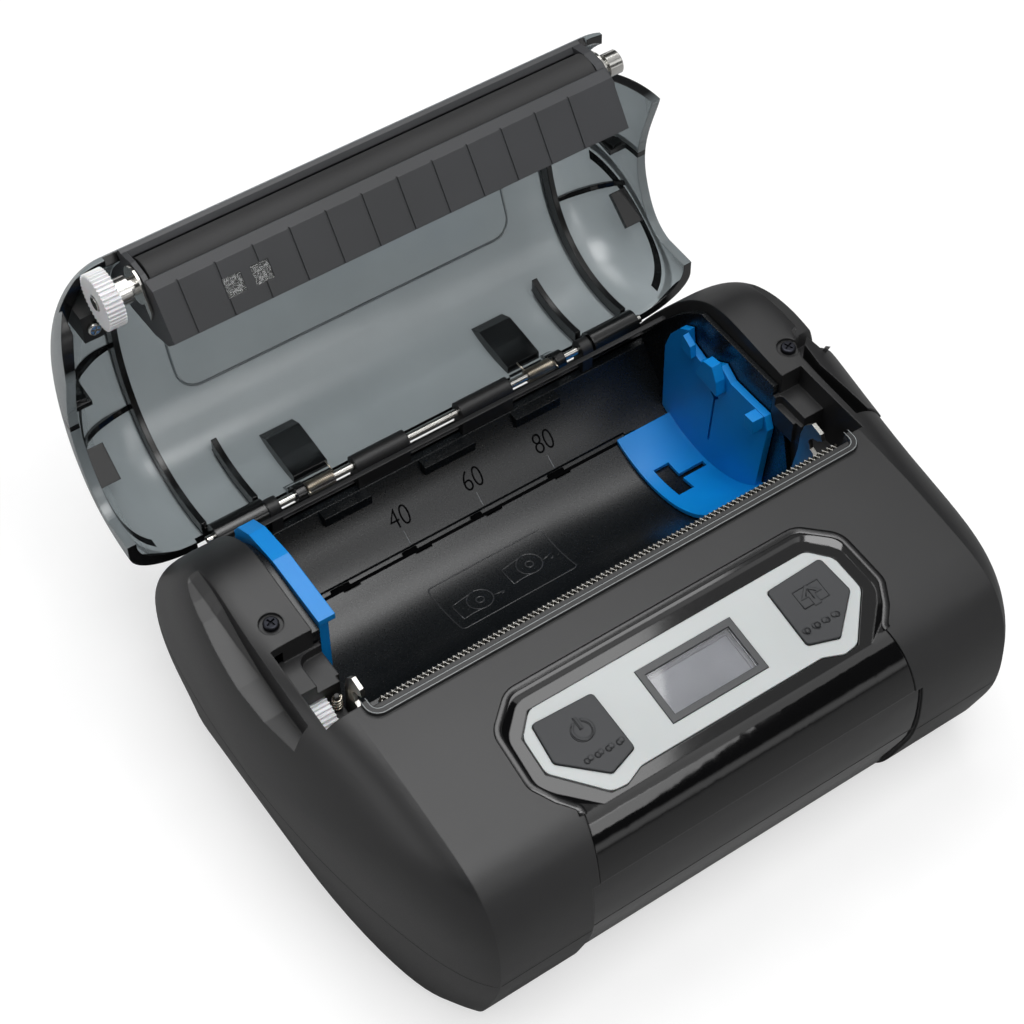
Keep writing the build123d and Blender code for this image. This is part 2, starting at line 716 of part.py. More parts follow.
def tear_bar():
    """Toothed steel strip along the mouth, bent forward below."""
    x0, x1 = -58.0, 57.7
    pitch, top, tip = 1.205, 59.9, 60.9
    count = int((x1 - x0) / pitch)
    points = [(x0, 57.3)]
    for i in range(count):
        points += [(x0 + i * pitch, top), (x0 + (i + .5) * pitch, tip)]
    points += [(x0 + count * pitch, top), (x0 + count * pitch, 57.3)]
    blade = extrude(make_face(Polyline([Vector(x, -14.3, z) for x, z in points], close=True)), amount=.6,
                    dir=(0, 1, 0))
    foot = block(x0, x0 + count * pitch, -20.5, -13.7, 57.3, 57.9)
    return blade + foot


def head_heat_sink():
    body = block(-head_half - 2, head_half + 2, -16.5, head_face - .65, 38.6, head_top)
    for i in range(3):
        body -= block(-head_half, head_half, -17, -14.6, 42 + 4.5 * i, 44.4 + 4.5 * i)
    for side in (1, -1):
        ear = rod(side * 53.5 - 1.5, side * 53.5 + 1.5, head_pivot_y, head_pivot_z, 2.6)
        ear += block(side * 53.5 - 1.5, side * 53.5 + 1.5, head_pivot_y, -15.5, 36.6, 40.6)
        body += ear
    return body - rod(-60, 60, head_pivot_y, head_pivot_z, 1.0 + running)


def thermal_head():
    """Ceramic strip with a raised heater line that faces the roller."""
    strip = block(-head_half, head_half, head_face - .63, head_face, head_low, head_top)
    return strip


def head_pivot_pin():
    return rod(-56.3, 56.3, head_pivot_y, head_pivot_z, 1.0)


def head_bracket():
    """Bent steel plate behind the head, on two feet that stand on the floor."""
    wall = block(-57.5, 57.5, -21.6, -20.6, 32.0, 56.9)
    ears = None
    for side in (1, -1):
        ear = block(side * 56.8 - .7, side * 56.8 + .7, -21, -16.2, 36.2, 41.5)
        wall += ear
        wall += block(side * 30 - 4, side * 30 + 4, -21.6, -20.6, floor_z + case_wall + .02, 34)
        wall += block(side * 30 - 4, side * 30 + 4, -26.5, -20.6, floor_z + case_wall + .02,
                      floor_z + case_wall + 1.0)
    return wall - rod(-60, 60, head_pivot_y, head_pivot_z, 1.0 + .02)


def coil_path(start, turn_radius, pitch, turns, along, first):
    """Helix as tangent arcs, two to each quarter turn, about the axis through start."""
    axis = Vector(*along).normalized()
    side = Vector(*first).normalized()
    other = axis.cross(side)
    rise = pitch / (2 * pi)

    def at(angle):
        across = side * (turn_radius * cos(angle)) + other * (turn_radius * sin(angle))
        return start + across + axis * (rise * angle)

    def heading(angle):
        return (other * cos(angle) * turn_radius - side * sin(angle) * turn_radius + axis * rise).normalized()

    arcs = []
    for i in range(int(turns * 4)):
        a, b = i * pi / 2, (i + 1) * pi / 2
        p0, p1, t0, t1 = at(a), at(b), heading(a), heading(b)
        v, t = p1 - p0, t0 + t1
        c = 2 * (1 - t0.dot(t1))
        d = (-v.dot(t) + sqrt(v.dot(t) ** 2 + c * v.dot(v))) / c
        middle = (p0 + p1 + (t0 - t1) * d) * .5
        arcs.append(TangentArc(p0, middle, tangent=t0))
        arcs.append(TangentArc(middle, p1, tangent=(p1 - t1 * d - (p0 + t0 * d)).normalized()))
    return arcs, at, heading


def coil(start, turn_radius, pitch, turns, along, first, wire, leg_in=0.0, leg_out=0.0):
    """Round wire wound on the helix, with a straight leg at either end."""
    arcs, at, heading = coil_path(Vector(*start), turn_radius, pitch, turns, along, first)
    last = turns * 2 * pi
    if leg_in:
        arcs.insert(0, Line(at(0) - heading(0) * leg_in, at(0)))
    if leg_out:
        arcs.append(Line(at(last), at(last) + heading(last) * leg_out))
    path = Wire(arcs)
    ring = Plane(origin=path @ 0, z_dir=path % 0) * Circle(wire / 2)
    points = [path.position_at(i / 400) for i in range(401)]
    apart = int(400 / turns * .6)
    pairs = ((i, j) for i in range(0, 401, 2) for j in range(i + apart, 401, 2))
    gap = min((points[i] - points[j]).length for i, j in pairs) - wire
    print("spring: least gap between turns", round(gap, 3))
    return sweep(ring, path=path)


def torsion_spring(side):
    turns = 8
    pitch = (spring_far - spring_near) / turns
    start = (side * (spring_near + .2), hinge_y, hinge_z)
    return coil(start, spring_turn_radius, pitch * .96, turns, (side, 0, 0), (0, -1, 0), spring_wire, 4.2,
                3.2)


def head_springs():
    """Four short coils that press the head forward."""
    return [coil((x, -20.3, 47.5), 1.9, 1.05, 3, (0, 1, 0), (1, 0, 0), .5) for x in (-40, -14, 14, 40)]


def latch_spring():
    """Small coil on a peg beside the left hook."""
    return coil((-61.2, -2.4, well_floor_z + .25), .95, .9, 4, (0, 0, 1), (1, 0, 0), .4)


def spring_peg():
    return post(-61.2, -2.4, well_floor_z, well_floor_z + 4.6, .55)


# Drive train. Each gear is drawn with a tooth facing the next gear's gap in the shut position.

def polar(y, z, angle, distance):
    return y + distance * cos(radians(angle)), z + distance * sin(radians(angle))


def gear(teeth, y, z, x0, x1, phase, bore):
    """Spur gear on an X axis with one tooth centred at the phase angle."""
    pitch_r = teeth * gear_module / 2
    tip, root = pitch_r + .8 * gear_module, pitch_r - 1.3 * gear_module
    step = 360 / teeth
    half_root, half_pitch, half_tip = step * .34, step * .205, step * .10
    points = []
    for i in range(teeth):
        a = phase + i * step
        for offset, radius in ((-half_root, root), (-half_pitch, pitch_r), (-half_tip, tip), (half_tip, tip),
                               (half_pitch, pitch_r), (half_root, root)):
            points.append(polar(y, z, a + offset, radius))
    return side_plate(points, x0, x1) - rod(x0 - 1, x1 + 1, y, z, bore)


def pair_distance(a, b):
    return (a + b) * gear_module / 2 + gear_gap


idler_y, idler_z = polar(platen_y, platen_z, idler_dir, pair_distance(24, 24))
wheel_y, wheel_z = polar(idler_y, idler_z, wheel_dir, pair_distance(24, 12))
motor_y, motor_z = polar(wheel_y, wheel_z, pinion_dir, pair_distance(32, 12))


def platen_gear():
    toothed = gear(24, platen_y, platen_z, platen_gear_left, platen_gear_right, idler_dir, shaft_radius - .5)
    hub = rod(platen_gear_left, platen_gear_left + 1.0, platen_y, platen_z, 2.6)
    return toothed + hub - rod(-70, -60, platen_y, platen_z, shaft_radius - .5)


def idler_gear():
    phase = idler_dir + 180 + 360 / 24 / 2
    return gear(24, idler_y, idler_z, idler_left, idler_right, phase, post_radius + running)


def reduction_gear():
    """Large wheel driven by the motor, in one piece with the small pinion that drives the idler."""
    idler_phase = idler_dir + 180 + 360 / 24 / 2
    # angle of the idler's nearest tooth to the line of centres, carried over as a gap here
    lead = (wheel_dir - idler_phase) % 15
    small_phase = wheel_dir + 180 + 15 + lead * 24 / 12
    small = gear(12, wheel_y, wheel_z, wheel_right, idler_right - .2, small_phase, post_radius + running)
    large = gear(32, wheel_y, wheel_z, wheel_left, wheel_right, pinion_dir, post_radius + running)
    return small + large


def motor_pinion():
    phase = pinion_dir + 180 + 15
    small = gear(12, motor_y, motor_z, wheel_left - .2, wheel_right + .2, phase, .98)
    return small


def motor_shaft():
    return rod(wheel_left - .6, motor_left - .2, motor_y, motor_z, .98)


def feed_motor():
    body = rod(motor_left + 1.0, motor_right, motor_y, motor_z, motor_radius)
    flange = rod(motor_left, motor_left + 1.0, motor_y, motor_z, motor_radius - .2)
    for angle in (100, 280):
        ey, ez = polar(motor_y, motor_z, angle, motor_radius + 1.4)
        flange += rod(motor_left, motor_left + 1.0, ey, ez, 2.2)
    return body + flange - rod(motor_left - 1, motor_left + 3, motor_y, motor_z, 1.2)


def gear_posts():
    """Pins on the left wall that the idler and the reduction gear turn on."""
    shapes = []
    for y, z, x in ((idler_y, idler_z, idler_left - .4), (wheel_y, wheel_z, wheel_left - .4)):
        shapes.append(rod(x, -bay_half - case_wall, y, z, post_radius))
    return shapes


# Latch: one lever on the right turns a shaft that carries a hook at each end of the roller

def latch_hooks():
    outline = [(-6.6, 32.6), (-1.4, 32.6), (-1.0, 40.0), (-2.0, 47.0), (-2.1, 52.0), (-3.0, 55.6),
               (-5.2, 58.2),
               (-8.2, 57.6), (-8.9, 56.0), (-7.6, 54.9), (-5.9, 54.3), (-4.9, 52.4), (-5.7, 50.4),
               (-7.6, 49.7),
               (-9.6, 50.2), (-11.9, 52.8), (-12.4, 51.4), (-10.2, 46.5), (-7.4, 42.0), (-7.0, 36.0)]
    shapes = []
    for side in (1, -1):
        x0, x1 = sorted((side * hook_near, side * hook_far))
        plate = side_plate(outline, x0, x1) + rod(x0, x1, hook_pivot_y, hook_pivot_z, 2.8)
        shapes.append(plate - rod(-80, 80, hook_pivot_y, hook_pivot_z, hook_shaft_radius + .01))
    return shapes


def hook_shaft():
    return rod(-62.2, 74.0, hook_pivot_y, hook_pivot_z, hook_shaft_radius)


def release_lever(outer_trim):
    """Ribbed thumb lever with an arm down to the shaft."""
    outline = [(70.2, -9.0), (77.6, -9.0), (77.4, 4.0), (75.4, 9.6), (72.4, 10.2), (71.6, 14.0), (69.6, 12.2),
               (68.8, 6.0)]
    face = make_face(Polyline([Vector(x, y, 53.4) for x, y in outline], close=True))
    top = extrude(face, amount=10, dir=(0, 0, 1)) & outer_trim
    for i in range(8):
        y = -6.5 + 2.5 * i
        rib = Pos(76.0, y, 57.6) * Rot(0, 38, 28) * Box(9, .9, .8)
        top += rib & block(71.2, 79, -8.6, 9.9, 53.4, 62)
    arm = block(70.4, 73.6, -8.9, -1.6, hook_pivot_z + 1, 55.5)
    arm += rod(70.4, 73.6, hook_pivot_y, hook_pivot_z, 3.4)
    return largest(top + arm - rod(60, 80, hook_pivot_y, hook_pivot_z, hook_shaft_radius + .01))


# Lid, drawn shut. The two side outlines are given from the hinge forward: the tunnel over the
# bay, and the rim line that the wings reach at their outer ends.

lid_tunnel = [(4.9, 4.1), (5.1, 12.3), (3.1, 21.3), (-2.7, 30.3), (-12.2, 36.9), (-24.2, 40.5), (-37.2, 40.6),
              (-49.2, 37.5), (-60.2, 31.6), (-66.7, 25.8)]
lid_rim = [(-3.2, 3.3), (-4.7, 10.3), (-7.2, 14.8), (-11.2, 18.3), (-17.2, 21.1), (-25.2, 22.5),
           (-35.2, 22.1),
           (-43.2, 19.8), (-48.2, 16.3), (-52.2, 11.3)]


def hinged(points):
    return [(hinge_y + y, hinge_z + z) for y, z in points]


def lid_line(share, inset):
    """Side outline of the lid between the tunnel and the rim line."""
    a = inward(hinged(lid_tunnel), (hinge_y + 4.6, hinge_z), (hinge_y - 70.5, hinge_z + 21.8), -inset)
    b = inward(hinged(lid_rim), (hinge_y - 2.0, hinge_z - 3), (hinge_y - 54, hinge_z + 5), -inset)
    return [(p[0] + (q[0] - p[0]) * share, p[1] + (q[1] - p[1]) * share) for p, q in zip(a, b)]


def lid_section(x, share, inset):
    line = lid_line(share, inset)
    first, last = line[0], line[-1]
    low = 22.0
    curve = Spline([Vector(x, y, z) for y, z in line])
    corners = [Vector(x, *last), Vector(x, last[0], low), Vector(x, first[0], low), Vector(x, *first)]
    return Face(Wire([curve, Line(corners[0], corners[1]), Line(corners[1], corners[2]),
                      Line(corners[2], corners[3])]))


def lid_dome(inset):
    middle = extrude(lid_section(-lid_half, 0, inset), amount=2 * lid_half, dir=(1, 0, 0))
    reach = lid_wing - inset
    angles = (0, 24, 41, 56, 70, 82, 90)
    wing = loft([lid_section(lid_half + reach * sin(radians(a)), 1 - cos(radians(a)), inset) for a in angles])
    return middle + both_sides(wing)


def lid_shell(outer, inner):
    """Smoked cover with a wing at each end, ribs inside and barrels on the hinge."""
    shape = outer - inner
    shape -= side_plate([(-40, 20), (-40, 60.5), (-12, 59.6), (-9.6, 61.4), (-7.2, 59.0), (20, 39.8),
                         (70, 39.8), (70, 20)],
                        -lid_half, lid_half)
    rim = [(-2.4, 56.0), (3, 53.4), (8.8, 53.0), (14.5, 54.4), (26, 57.6), (33, 58.0), (41, 56.0), (47, 52.6),
           (50.2, 47.5)]
    curve = Spline([Vector(lid_half, y, z) for y, z in rim])
    ends = [(50.6, 38.6), (75, 38.6), (75, 10), (-40, 10), (-40, 59.4), (-5.4, 59.2), rim[0]]
    lines = [Vector(lid_half, *rim[-1])] + [Vector(lid_half, y, z) for y, z in ends]
    under = extrude(Face(Wire([curve] + list(Polyline(lines).edges()))), amount=30, dir=(1, 0, 0))
    shape -= both_sides(under)
    shape -= both_sides(block(lid_half, 71.9, -40, 6, 30, 60.1))
    cut = block(64.2, 90, -40, 10.5, 30, 90)
    shape -= fillet(cut.edges().filter_by(Axis.Z).sort_by(Axis.Y)[-2:].sort_by(Axis.X)[0], 5)
    return largest(shape)


def lid_ribs(inner):
    """Two full hoops, four short hoops and two gussets in each wing."""
    deep = 3.2
    shape = None
    for x0, x1, keep in ((-57.8, -56.4, None), (56.4, 57.8, None), (-44.7, -43.3, 40), (43.3, 44.7, 40)):
        line = [(y, z) for y, z in lid_line(0, lid_wall - .02)]
        inside = [(y, z) for y, z in lid_line(0, lid_wall + deep)]
        outer_edge = Spline([Vector(x0, y, z) for y, z in line])
        inner_edge = Spline([Vector(x0, y, z) for y, z in inside])
        ends = [Line(inner_edge @ 0, outer_edge @ 0), Line(outer_edge @ 1, inner_edge @ 1)]
        hoop = extrude(Face(Wire([outer_edge, ends[1], inner_edge, ends[0]])), amount=x1 - x0, dir=(1, 0, 0))
        hoop -= block(-90, 90, -20, 4.6, 30, 90)
        if keep:
            hoop &= block(-90, 90, 50, 90, 30, 58)
        shape = hoop if shape is None else shape + hoop
    return shape


def lid_gussets(inner):
    """Small webs across the corner between each wing and the tunnel."""
    shape = None
    for y, z, lean, low in ((45.3, 54.8, 40, 50), (29.3, 60.4, 8, 61.9)):
        for side in (1, -1):
            web = Pos(side * 72.0, y, z + 3.4) * Rot(lean, 0, 0) * Box(7.0, 1.3, 9.0)
            web = web & inner & block(-73.4, 73.4, -90, 90, low, 90)
            shape = web if shape is None else shape + web
    return shape


def lid_knuckles():
    """Barrels and collars that turn on the hinge pin, with the webs that join them to the lid."""
    shape = None
    for near, far, radius in ((barrel_near, barrel_far, barrel_radius),
                              (collar_near, collar_far, sleeve_radius)):
        tube = rod(near, far, hinge_y, hinge_z, radius)
        web = side_plate([(hinge_y - .4, hinge_z), (hinge_y + radius - .1, hinge_z),
                          (hinge_y + 4.0, hinge_z + 3.2),
                          (hinge_y + 5.0, hinge_z + 5.6), (hinge_y + 2.6, hinge_z + 5.6),
                          (hinge_y + 1.0, hinge_z + 4.0)], near, far)
        part = tube + web
        shape = part if shape is None else shape + part
    return both_sides(shape) - rod(-60, 60, hinge_y, hinge_z, pin_radius + running)


def spring_tabs(inner):
    """Two thick tongues inside the lid's foot that the hinge springs push on."""
    outline = [(hinge_y + .6, 41.0), (hinge_y + 4.6, 41.0), (hinge_y + 4.6, 56.6), (hinge_y + 1.0, 56.6),
               (hinge_y - .8, 53.0), (hinge_y - .2, 47.0)]
    return both_sides(side_plate(outline, 24.7, 33.5)) & inner


def lid_bracket(inner):
    """Block inside the left wing that is screwed to the lid beside the gear."""
    body = side_plate([(-1.4, 56.0), (5.8, 56.0), (5.8, 80.0), (-1.4, 80.0)], -69.2, -64.4) & inner
    return body - post(-66.8, 2.2, 50, 61, .8)


def lid_screws():
    """Screws of the block and of the roller's holder."""
    shapes = [cross_screw(-66.8, 2.2, 55.9, -1, 1.55, .78, 4.9)]
    return shapes


def cross_screw(x, y, z, up, head, shank, long):
    """Pan-head screw with a cross recess; its head points up or down."""
    body = post(x, y, *sorted((z, z + up * 1.1)), head)
    body = fillet(body.edges().group_by(Axis.Z)[-1 if up > 0 else 0], .45)
    body += post(x, y, *sorted((z, z - up * long)), shank)
    for turn in (0, 90):
        slot = Pos(x, y, z + up * 1.1) * Rot(0, 0, turn + 20) * Box(head * 1.25, .4, 1.2)
        body -= slot
    return body


def case_screws():
    shapes = []
    for side in (1, -1):
        x, y = side * shoulder_screw[0], shoulder_screw[1]
        shapes.append(cross_screw(x, y, case_top - 1.15, 1, 1.7, .9, 6.0))
    for x, y in floor_screws:
        for side in (1, -1):
            shapes.append(cross_screw(side * x, y, floor_z + 3.2, -1, 2.3, .95, seam_z - 5))
    return shapes


# Platen holder and roller


def bar_point(share, depth=0.0):
    """Point on the sensor bar's lower face, seen in the side view."""
    dy, dz = bar_back[0] - bar_front[0], bar_back[1] - bar_front[1]
    length = hypot(dy, dz)
    return (bar_front[0] + dy * share - dz / length * depth, bar_front[1] + dz * share + dy / length * depth)


def platen_holder():
    """Moulded beam under the lid's front edge: roller trough, sensor bar and lip."""
    arc = [polar(platen_y, platen_z, a, platen_cavity) for a in range(115, -136, -10)]
    outline = [(-11.1, 58.4), *arc, bar_front, bar_back, (1.5, 41.5), (3.5, 48.0), (4.0, 58.0), (2.0, 66.7),
               (-2.2, 64.5), (-8.3, 59.3), (-9.7, 60.5), (-10.5, 60.3), (-11.4, 59.4)]
    shape = side_plate(outline, holder_left, holder_right)
    pocket = [(-8.6, 45.3), (-1.3, 40.4), (.3, 42.2), (2.0, 48.2), (2.5, 58.0), (.8, 72.0), (-2.4, 71.0),
              (-2.0, 60.5),
              (-.5, 57.0), (0, 52.4), (-1.6, 47.6), (-4.0, 45.7)]
    shape -= side_plate(pocket, holder_left + 1.6, holder_right - 1.6)
    for x0, x1 in ((holder_left, holder_left + 1.2), (holder_right - 1.2, holder_right + 1.0)):
        wall = side_plate([(-11.1, 58.4), (-11.4, 59.4), (-10.5, 60.3), (-9.7, 60.5), (-8.3, 59.3),
                           (-2.2, 64.5), (2.0, 66.7),
                           (4.0, 58.0), (1.5, 44.0), (-9.0, 45.4), (-11.6, 50.0), (-12.0, 54.0)], x0, x1)
        shape += wall
    for i in range(12):
        x = holder_left + 5.4 + 8.7 * i
        shape -= side_plate([bar_point(-.1), bar_point(1.1), bar_point(1.1, .3), bar_point(-.1, .3)], x,
                            x + .4)
    for x in sensor_places:
        shape -= sensor_box(x, 2.1, -1, 2.6)
    return largest(shape - rod(-80, 80, platen_y, platen_z, shaft_radius + running))


def sensor_box(x, half, outer_depth, inner_depth):
    """Square block through the sensor bar's face, between two depths."""
    middle = bar_point(.5, (outer_depth + inner_depth) / 2)
    dy, dz = bar_back[0] - bar_front[0], bar_back[1] - bar_front[1]
    place = Plane(origin=Vector(x, *middle), x_dir=(1, 0, 0), z_dir=(0, -dz, dy))
    return place * Box(2 * half, 2 * half, inner_depth - outer_depth)


def sensor_windows():
    return [sensor_box(x, 2.1 - .06, .15, 1.5) for x in sensor_places]


def sensor_board():
    """Small board with the two paper sensors behind their windows."""
    middle = bar_point(.5, 2.5)
    dy, dz = bar_back[0] - bar_front[0], bar_back[1] - bar_front[1]
    place = Plane(origin=Vector(-37.2, *middle), x_dir=(1, 0, 0), z_dir=(0, -dz, dy))
    return place * Box(14, 4.4, .7)


def bearing_clip(x0, x1):
    """Thin spring-steel plate on the end of the holder that keeps the shaft in."""
    outline = [polar(platen_y, platen_z, a, 4.3) for a in range(150, -61, -15)]
    outline += [(-2.2, 46.6), (-4.6, 46.0)] + [polar(platen_y, platen_z, a, 4.3) for a in range(-100, -196,
                                                                                                -15)]
    return side_plate(outline, x0, x1) - rod(-80, 80, platen_y, platen_z, shaft_radius + running)


def platen_shaft():
    shaft = rod(holder_left - 6.0, shaft_right, platen_y, platen_z, shaft_radius)
    return shaft + rod(platen_gear_left + .6, holder_left - 6.0, platen_y, platen_z, shaft_radius - .5)


def platen_roller():
    rubber = rod(holder_left + 1.6, holder_right - 1.6, platen_y, platen_z, platen_radius)
    return rubber - rod(-80, 80, platen_y, platen_z, shaft_radius)


def platen_bushes():
    left = rod(-63.4, hook_far * -1 - .3, platen_y, platen_z, collar_radius)
    right = rod(hook_far + .3, shaft_right - .4, platen_y, platen_z, 2.7)
    return [part - rod(-80, 80, platen_y, platen_z, shaft_radius) for part in (left, right)]


def hinge_pin():
    return rod(-58.8, 58.8, hinge_y, hinge_z, pin_radius)


def as_list(shape):
    return list(shape) if isinstance(shape, (list, tuple)) else [shape]


def make_all():
    """Every piece by its node name, at rest with the lid open."""
    outer, inner = case_body(0), case_body(case_wall)
    skin_deep = case_body(front_step)
    lip_out, lip_in = case_body(case_wall + fit), case_body(case_wall + fit + lip_wall)
    skin = case_body(.15) - case_body(case_wall + .2)
    dome_out, dome_in = lid_dome(0), lid_dome(lid_wall)
    spring_room = None
    for side in (1, -1):
        x0, x1 = sorted((side * (sleeve_far + .4), side * (collar_far + .5)))
        room = block(x0, x1, hinge_y - 2.6, hinge_y + 6, 31.4, 40)
        spring_room = room if spring_room is None else spring_room + room
    ribs = (lid_ribs(dome_in) + lid_gussets(dome_in)) & dome_in
    shell = lid_shell(dome_out, dome_in) + ribs + lid_knuckles()
    shell = largest(shell - both_sides(block(spring_near - 1.5, collar_near - .3, 50, 61.0, 36, 40.4)))
    nodes = {
        "upper_case": upper_case(outer, inner, skin_deep, spring_room),
        "lower_case": lower_case(outer, inner, skin_deep, lip_out, lip_in),
        "gloss_insert": gloss_insert(skin),
        "control_panel": control_panel(),
        "display_frame": display_frame(),
        "display_window": display_window(),
        "display_module": display_module(),
        "power_button": button(-1),
        "feed_button": button(1),
        "button_board": button_board(),
        "key_switches": key_switches(),
        "paper_bay": paper_bay(lip_out & block(-90, 90, -90, 90, 0, 90)),
        "guide_left": guide_left(),
        "guide_right": guide_right(),
        "tear_bar": tear_bar(),
        "thermal_head": thermal_head(),
        "head_heat_sink": head_heat_sink(),
        "head_pivot_pin": head_pivot_pin(),
        "head_bracket": head_bracket(),
        "head_springs": head_springs(),
        "feed_motor": feed_motor(),
        "motor_shaft": motor_shaft(),
        "motor_pinion": motor_pinion(),
        "reduction_gear": reduction_gear(),
        "idler_gear": idler_gear(),
        "gear_posts": gear_posts(),
        "latch_hooks": latch_hooks(),
        "hook_shaft": hook_shaft(),
        "release_lever": release_lever(case_body(-.4)),
        "latch_spring": latch_spring(),
        "spring_peg": spring_peg(),
        "hinge_pin": hinge_pin(),
        "torsion_spring_left": torsion_spring(-1),
        "torsion_spring_right": torsion_spring(1),
        "main_board": main_board(),
        "board_chips": board_chips(),
        "battery_pack": battery_pack(),
        "battery_cover": battery_cover(),
        "dc_jack": dc_jack(lip_out),
        "data_socket": data_socket(),
        "rubber_feet": rubber_feet(),
        "case_screws": case_screws(),
    }
    lid_nodes = {
        "lid_shell": shell,
        "spring_tabs": spring_tabs(dome_in),
        "lid_bracket": lid_bracket(dome_in),
        "lid_screws": lid_screws(),
        "platen_holder": platen_holder(),
        "sensor_windows": sensor_windows(),
        "sensor_board": sensor_board(),
        "bearing_clip_left": bearing_clip(holder_left - .75, holder_left - .2),
        "bearing_clip_right": bearing_clip(holder_right + 1.05, holder_right + 1.6),
        "platen_shaft": platen_shaft(),
        "platen_roller": platen_roller(),
        "platen_bushes": platen_bushes(),
        "platen_gear": platen_gear(),
    }
    for name, shape in lid_nodes.items():
        nodes[name] = [swung(part) for part in as_list(shape)]
    return nodes


def write_all():
    os.makedirs("parts", exist_ok=True)
    for name, shape in make_all().items():
        parts = []
        for piece in as_list(shape):
            parts += piece.solids()
        whole = parts[0] if len(parts) == 1 else Compound(children=parts)
        whole.label = name
        export_step(whole, os.path.join("parts", name + ".step"))


write_all()
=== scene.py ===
import bpy
import bmesh
import json
from math import sin, cos, pi, radians
from mathutils import Matrix, Vector


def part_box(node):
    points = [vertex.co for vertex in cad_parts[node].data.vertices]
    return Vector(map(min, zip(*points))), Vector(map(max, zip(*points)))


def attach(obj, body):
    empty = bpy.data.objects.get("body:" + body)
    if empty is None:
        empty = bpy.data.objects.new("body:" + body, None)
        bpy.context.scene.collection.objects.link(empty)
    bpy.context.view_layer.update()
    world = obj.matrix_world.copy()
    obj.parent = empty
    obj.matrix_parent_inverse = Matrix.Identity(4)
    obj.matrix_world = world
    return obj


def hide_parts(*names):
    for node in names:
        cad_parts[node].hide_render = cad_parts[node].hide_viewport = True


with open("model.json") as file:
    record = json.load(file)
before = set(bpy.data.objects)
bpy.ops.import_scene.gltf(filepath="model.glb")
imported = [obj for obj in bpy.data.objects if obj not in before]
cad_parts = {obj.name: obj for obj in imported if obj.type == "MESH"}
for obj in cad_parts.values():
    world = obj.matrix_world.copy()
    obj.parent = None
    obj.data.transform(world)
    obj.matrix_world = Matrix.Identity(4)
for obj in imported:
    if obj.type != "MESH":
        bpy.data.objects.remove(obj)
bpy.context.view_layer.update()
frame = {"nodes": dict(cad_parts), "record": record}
nodes = frame["nodes"]
mm = 0.001
print("frame loaded:", len(nodes), "nodes")


# small helpers: colours, nodes, pieces

def linear(hexText):  # sRGB hex to the linear values Blender wants
    parts = [int(hexText[i:i + 2], 16) / 255 for i in (1, 3, 5)]
    return [p / 12.92 if p <= 0.04045 else ((p + 0.055) / 1.055) ** 2.4 for p in parts] + [1.0]


def addNode(tree, kind, settings=None, links=None):  # a node with its values and its incoming links
    node = tree.nodes.new("ShaderNode" + kind)
    for key, value in (settings or {}).items():
        if isinstance(key, int) or key in node.inputs:
            node.inputs[key].default_value = value
        else:
            setattr(node, key, value)
    for key, socket in (links or {}).items():
        tree.links.new(socket, node.inputs[key])
    return node


def newMaterial(name):  # an empty material with its output and its coordinates in metres
    material = bpy.data.materials.new(name)
    material.use_nodes = True
    material.node_tree.nodes.clear()
    tree = material.node_tree
    return material, tree, addNode(tree, "TexCoord").outputs["Object"], addNode(tree, "OutputMaterial")


def rampStops(ramp, stops):
    for i, (place, value) in enumerate(stops):
        stop = ramp.color_ramp.elements[i] if i < 2 else ramp.color_ramp.elements.new(place)
        stop.position = place
        stop.color = linear(value) if isinstance(value, str) else (value, value, value, 1)


def addPiece(name, points, faces, body, material, smooth=True, slot=None):
    mesh = bpy.data.meshes.new(name)
    mesh.from_pydata([Vector(p) for p in points], [], faces)
    mesh.polygons.foreach_set("use_smooth", [smooth] * len(mesh.polygons))
    mesh.materials.append(material)
    piece = bpy.data.objects.new(name, mesh)
    bpy.context.collection.objects.link(piece)
    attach(piece, body)
    return piece


# round or flattened bars along paths, as one mesh; the paths numbered in shut are closed loops
def sweep(paths, radius, sides=8, flat=1.0, up=Vector((0, 0, 1)), shut=()):
    points, faces = [], []
    for n, path in enumerate(paths):
        path = [Vector(p) for p in path]
        loop = n in shut
        base = len(points)
        for i, p in enumerate(path):
            before = path[i - 1] if i or loop else p
            after = path[(i + 1) % len(path)] if i + 1 < len(path) or loop else p
            along = (after - before).normalized()
            lift = up(p) if callable(up) else up
            side = along.cross(lift).normalized()
            lift = side.cross(along).normalized()
            for k in range(sides):
                a = 2 * pi * k / sides
                points.append(p + side * radius * cos(a) + lift * radius * flat * sin(a))
        count = len(path)
        for i in range(count if loop else count - 1):
            j = (i + 1) % count
            for k in range(sides):
                m = (k + 1) % sides
                faces.append((base + i * sides + k, base + i * sides + m, base + j * sides + m, base + j * sides + k))
        if not loop:
            faces.append(tuple(base + k for k in reversed(range(sides))))
            faces.append(tuple(base + (count - 1) * sides + k for k in range(sides)))
    return points, faces


# materials

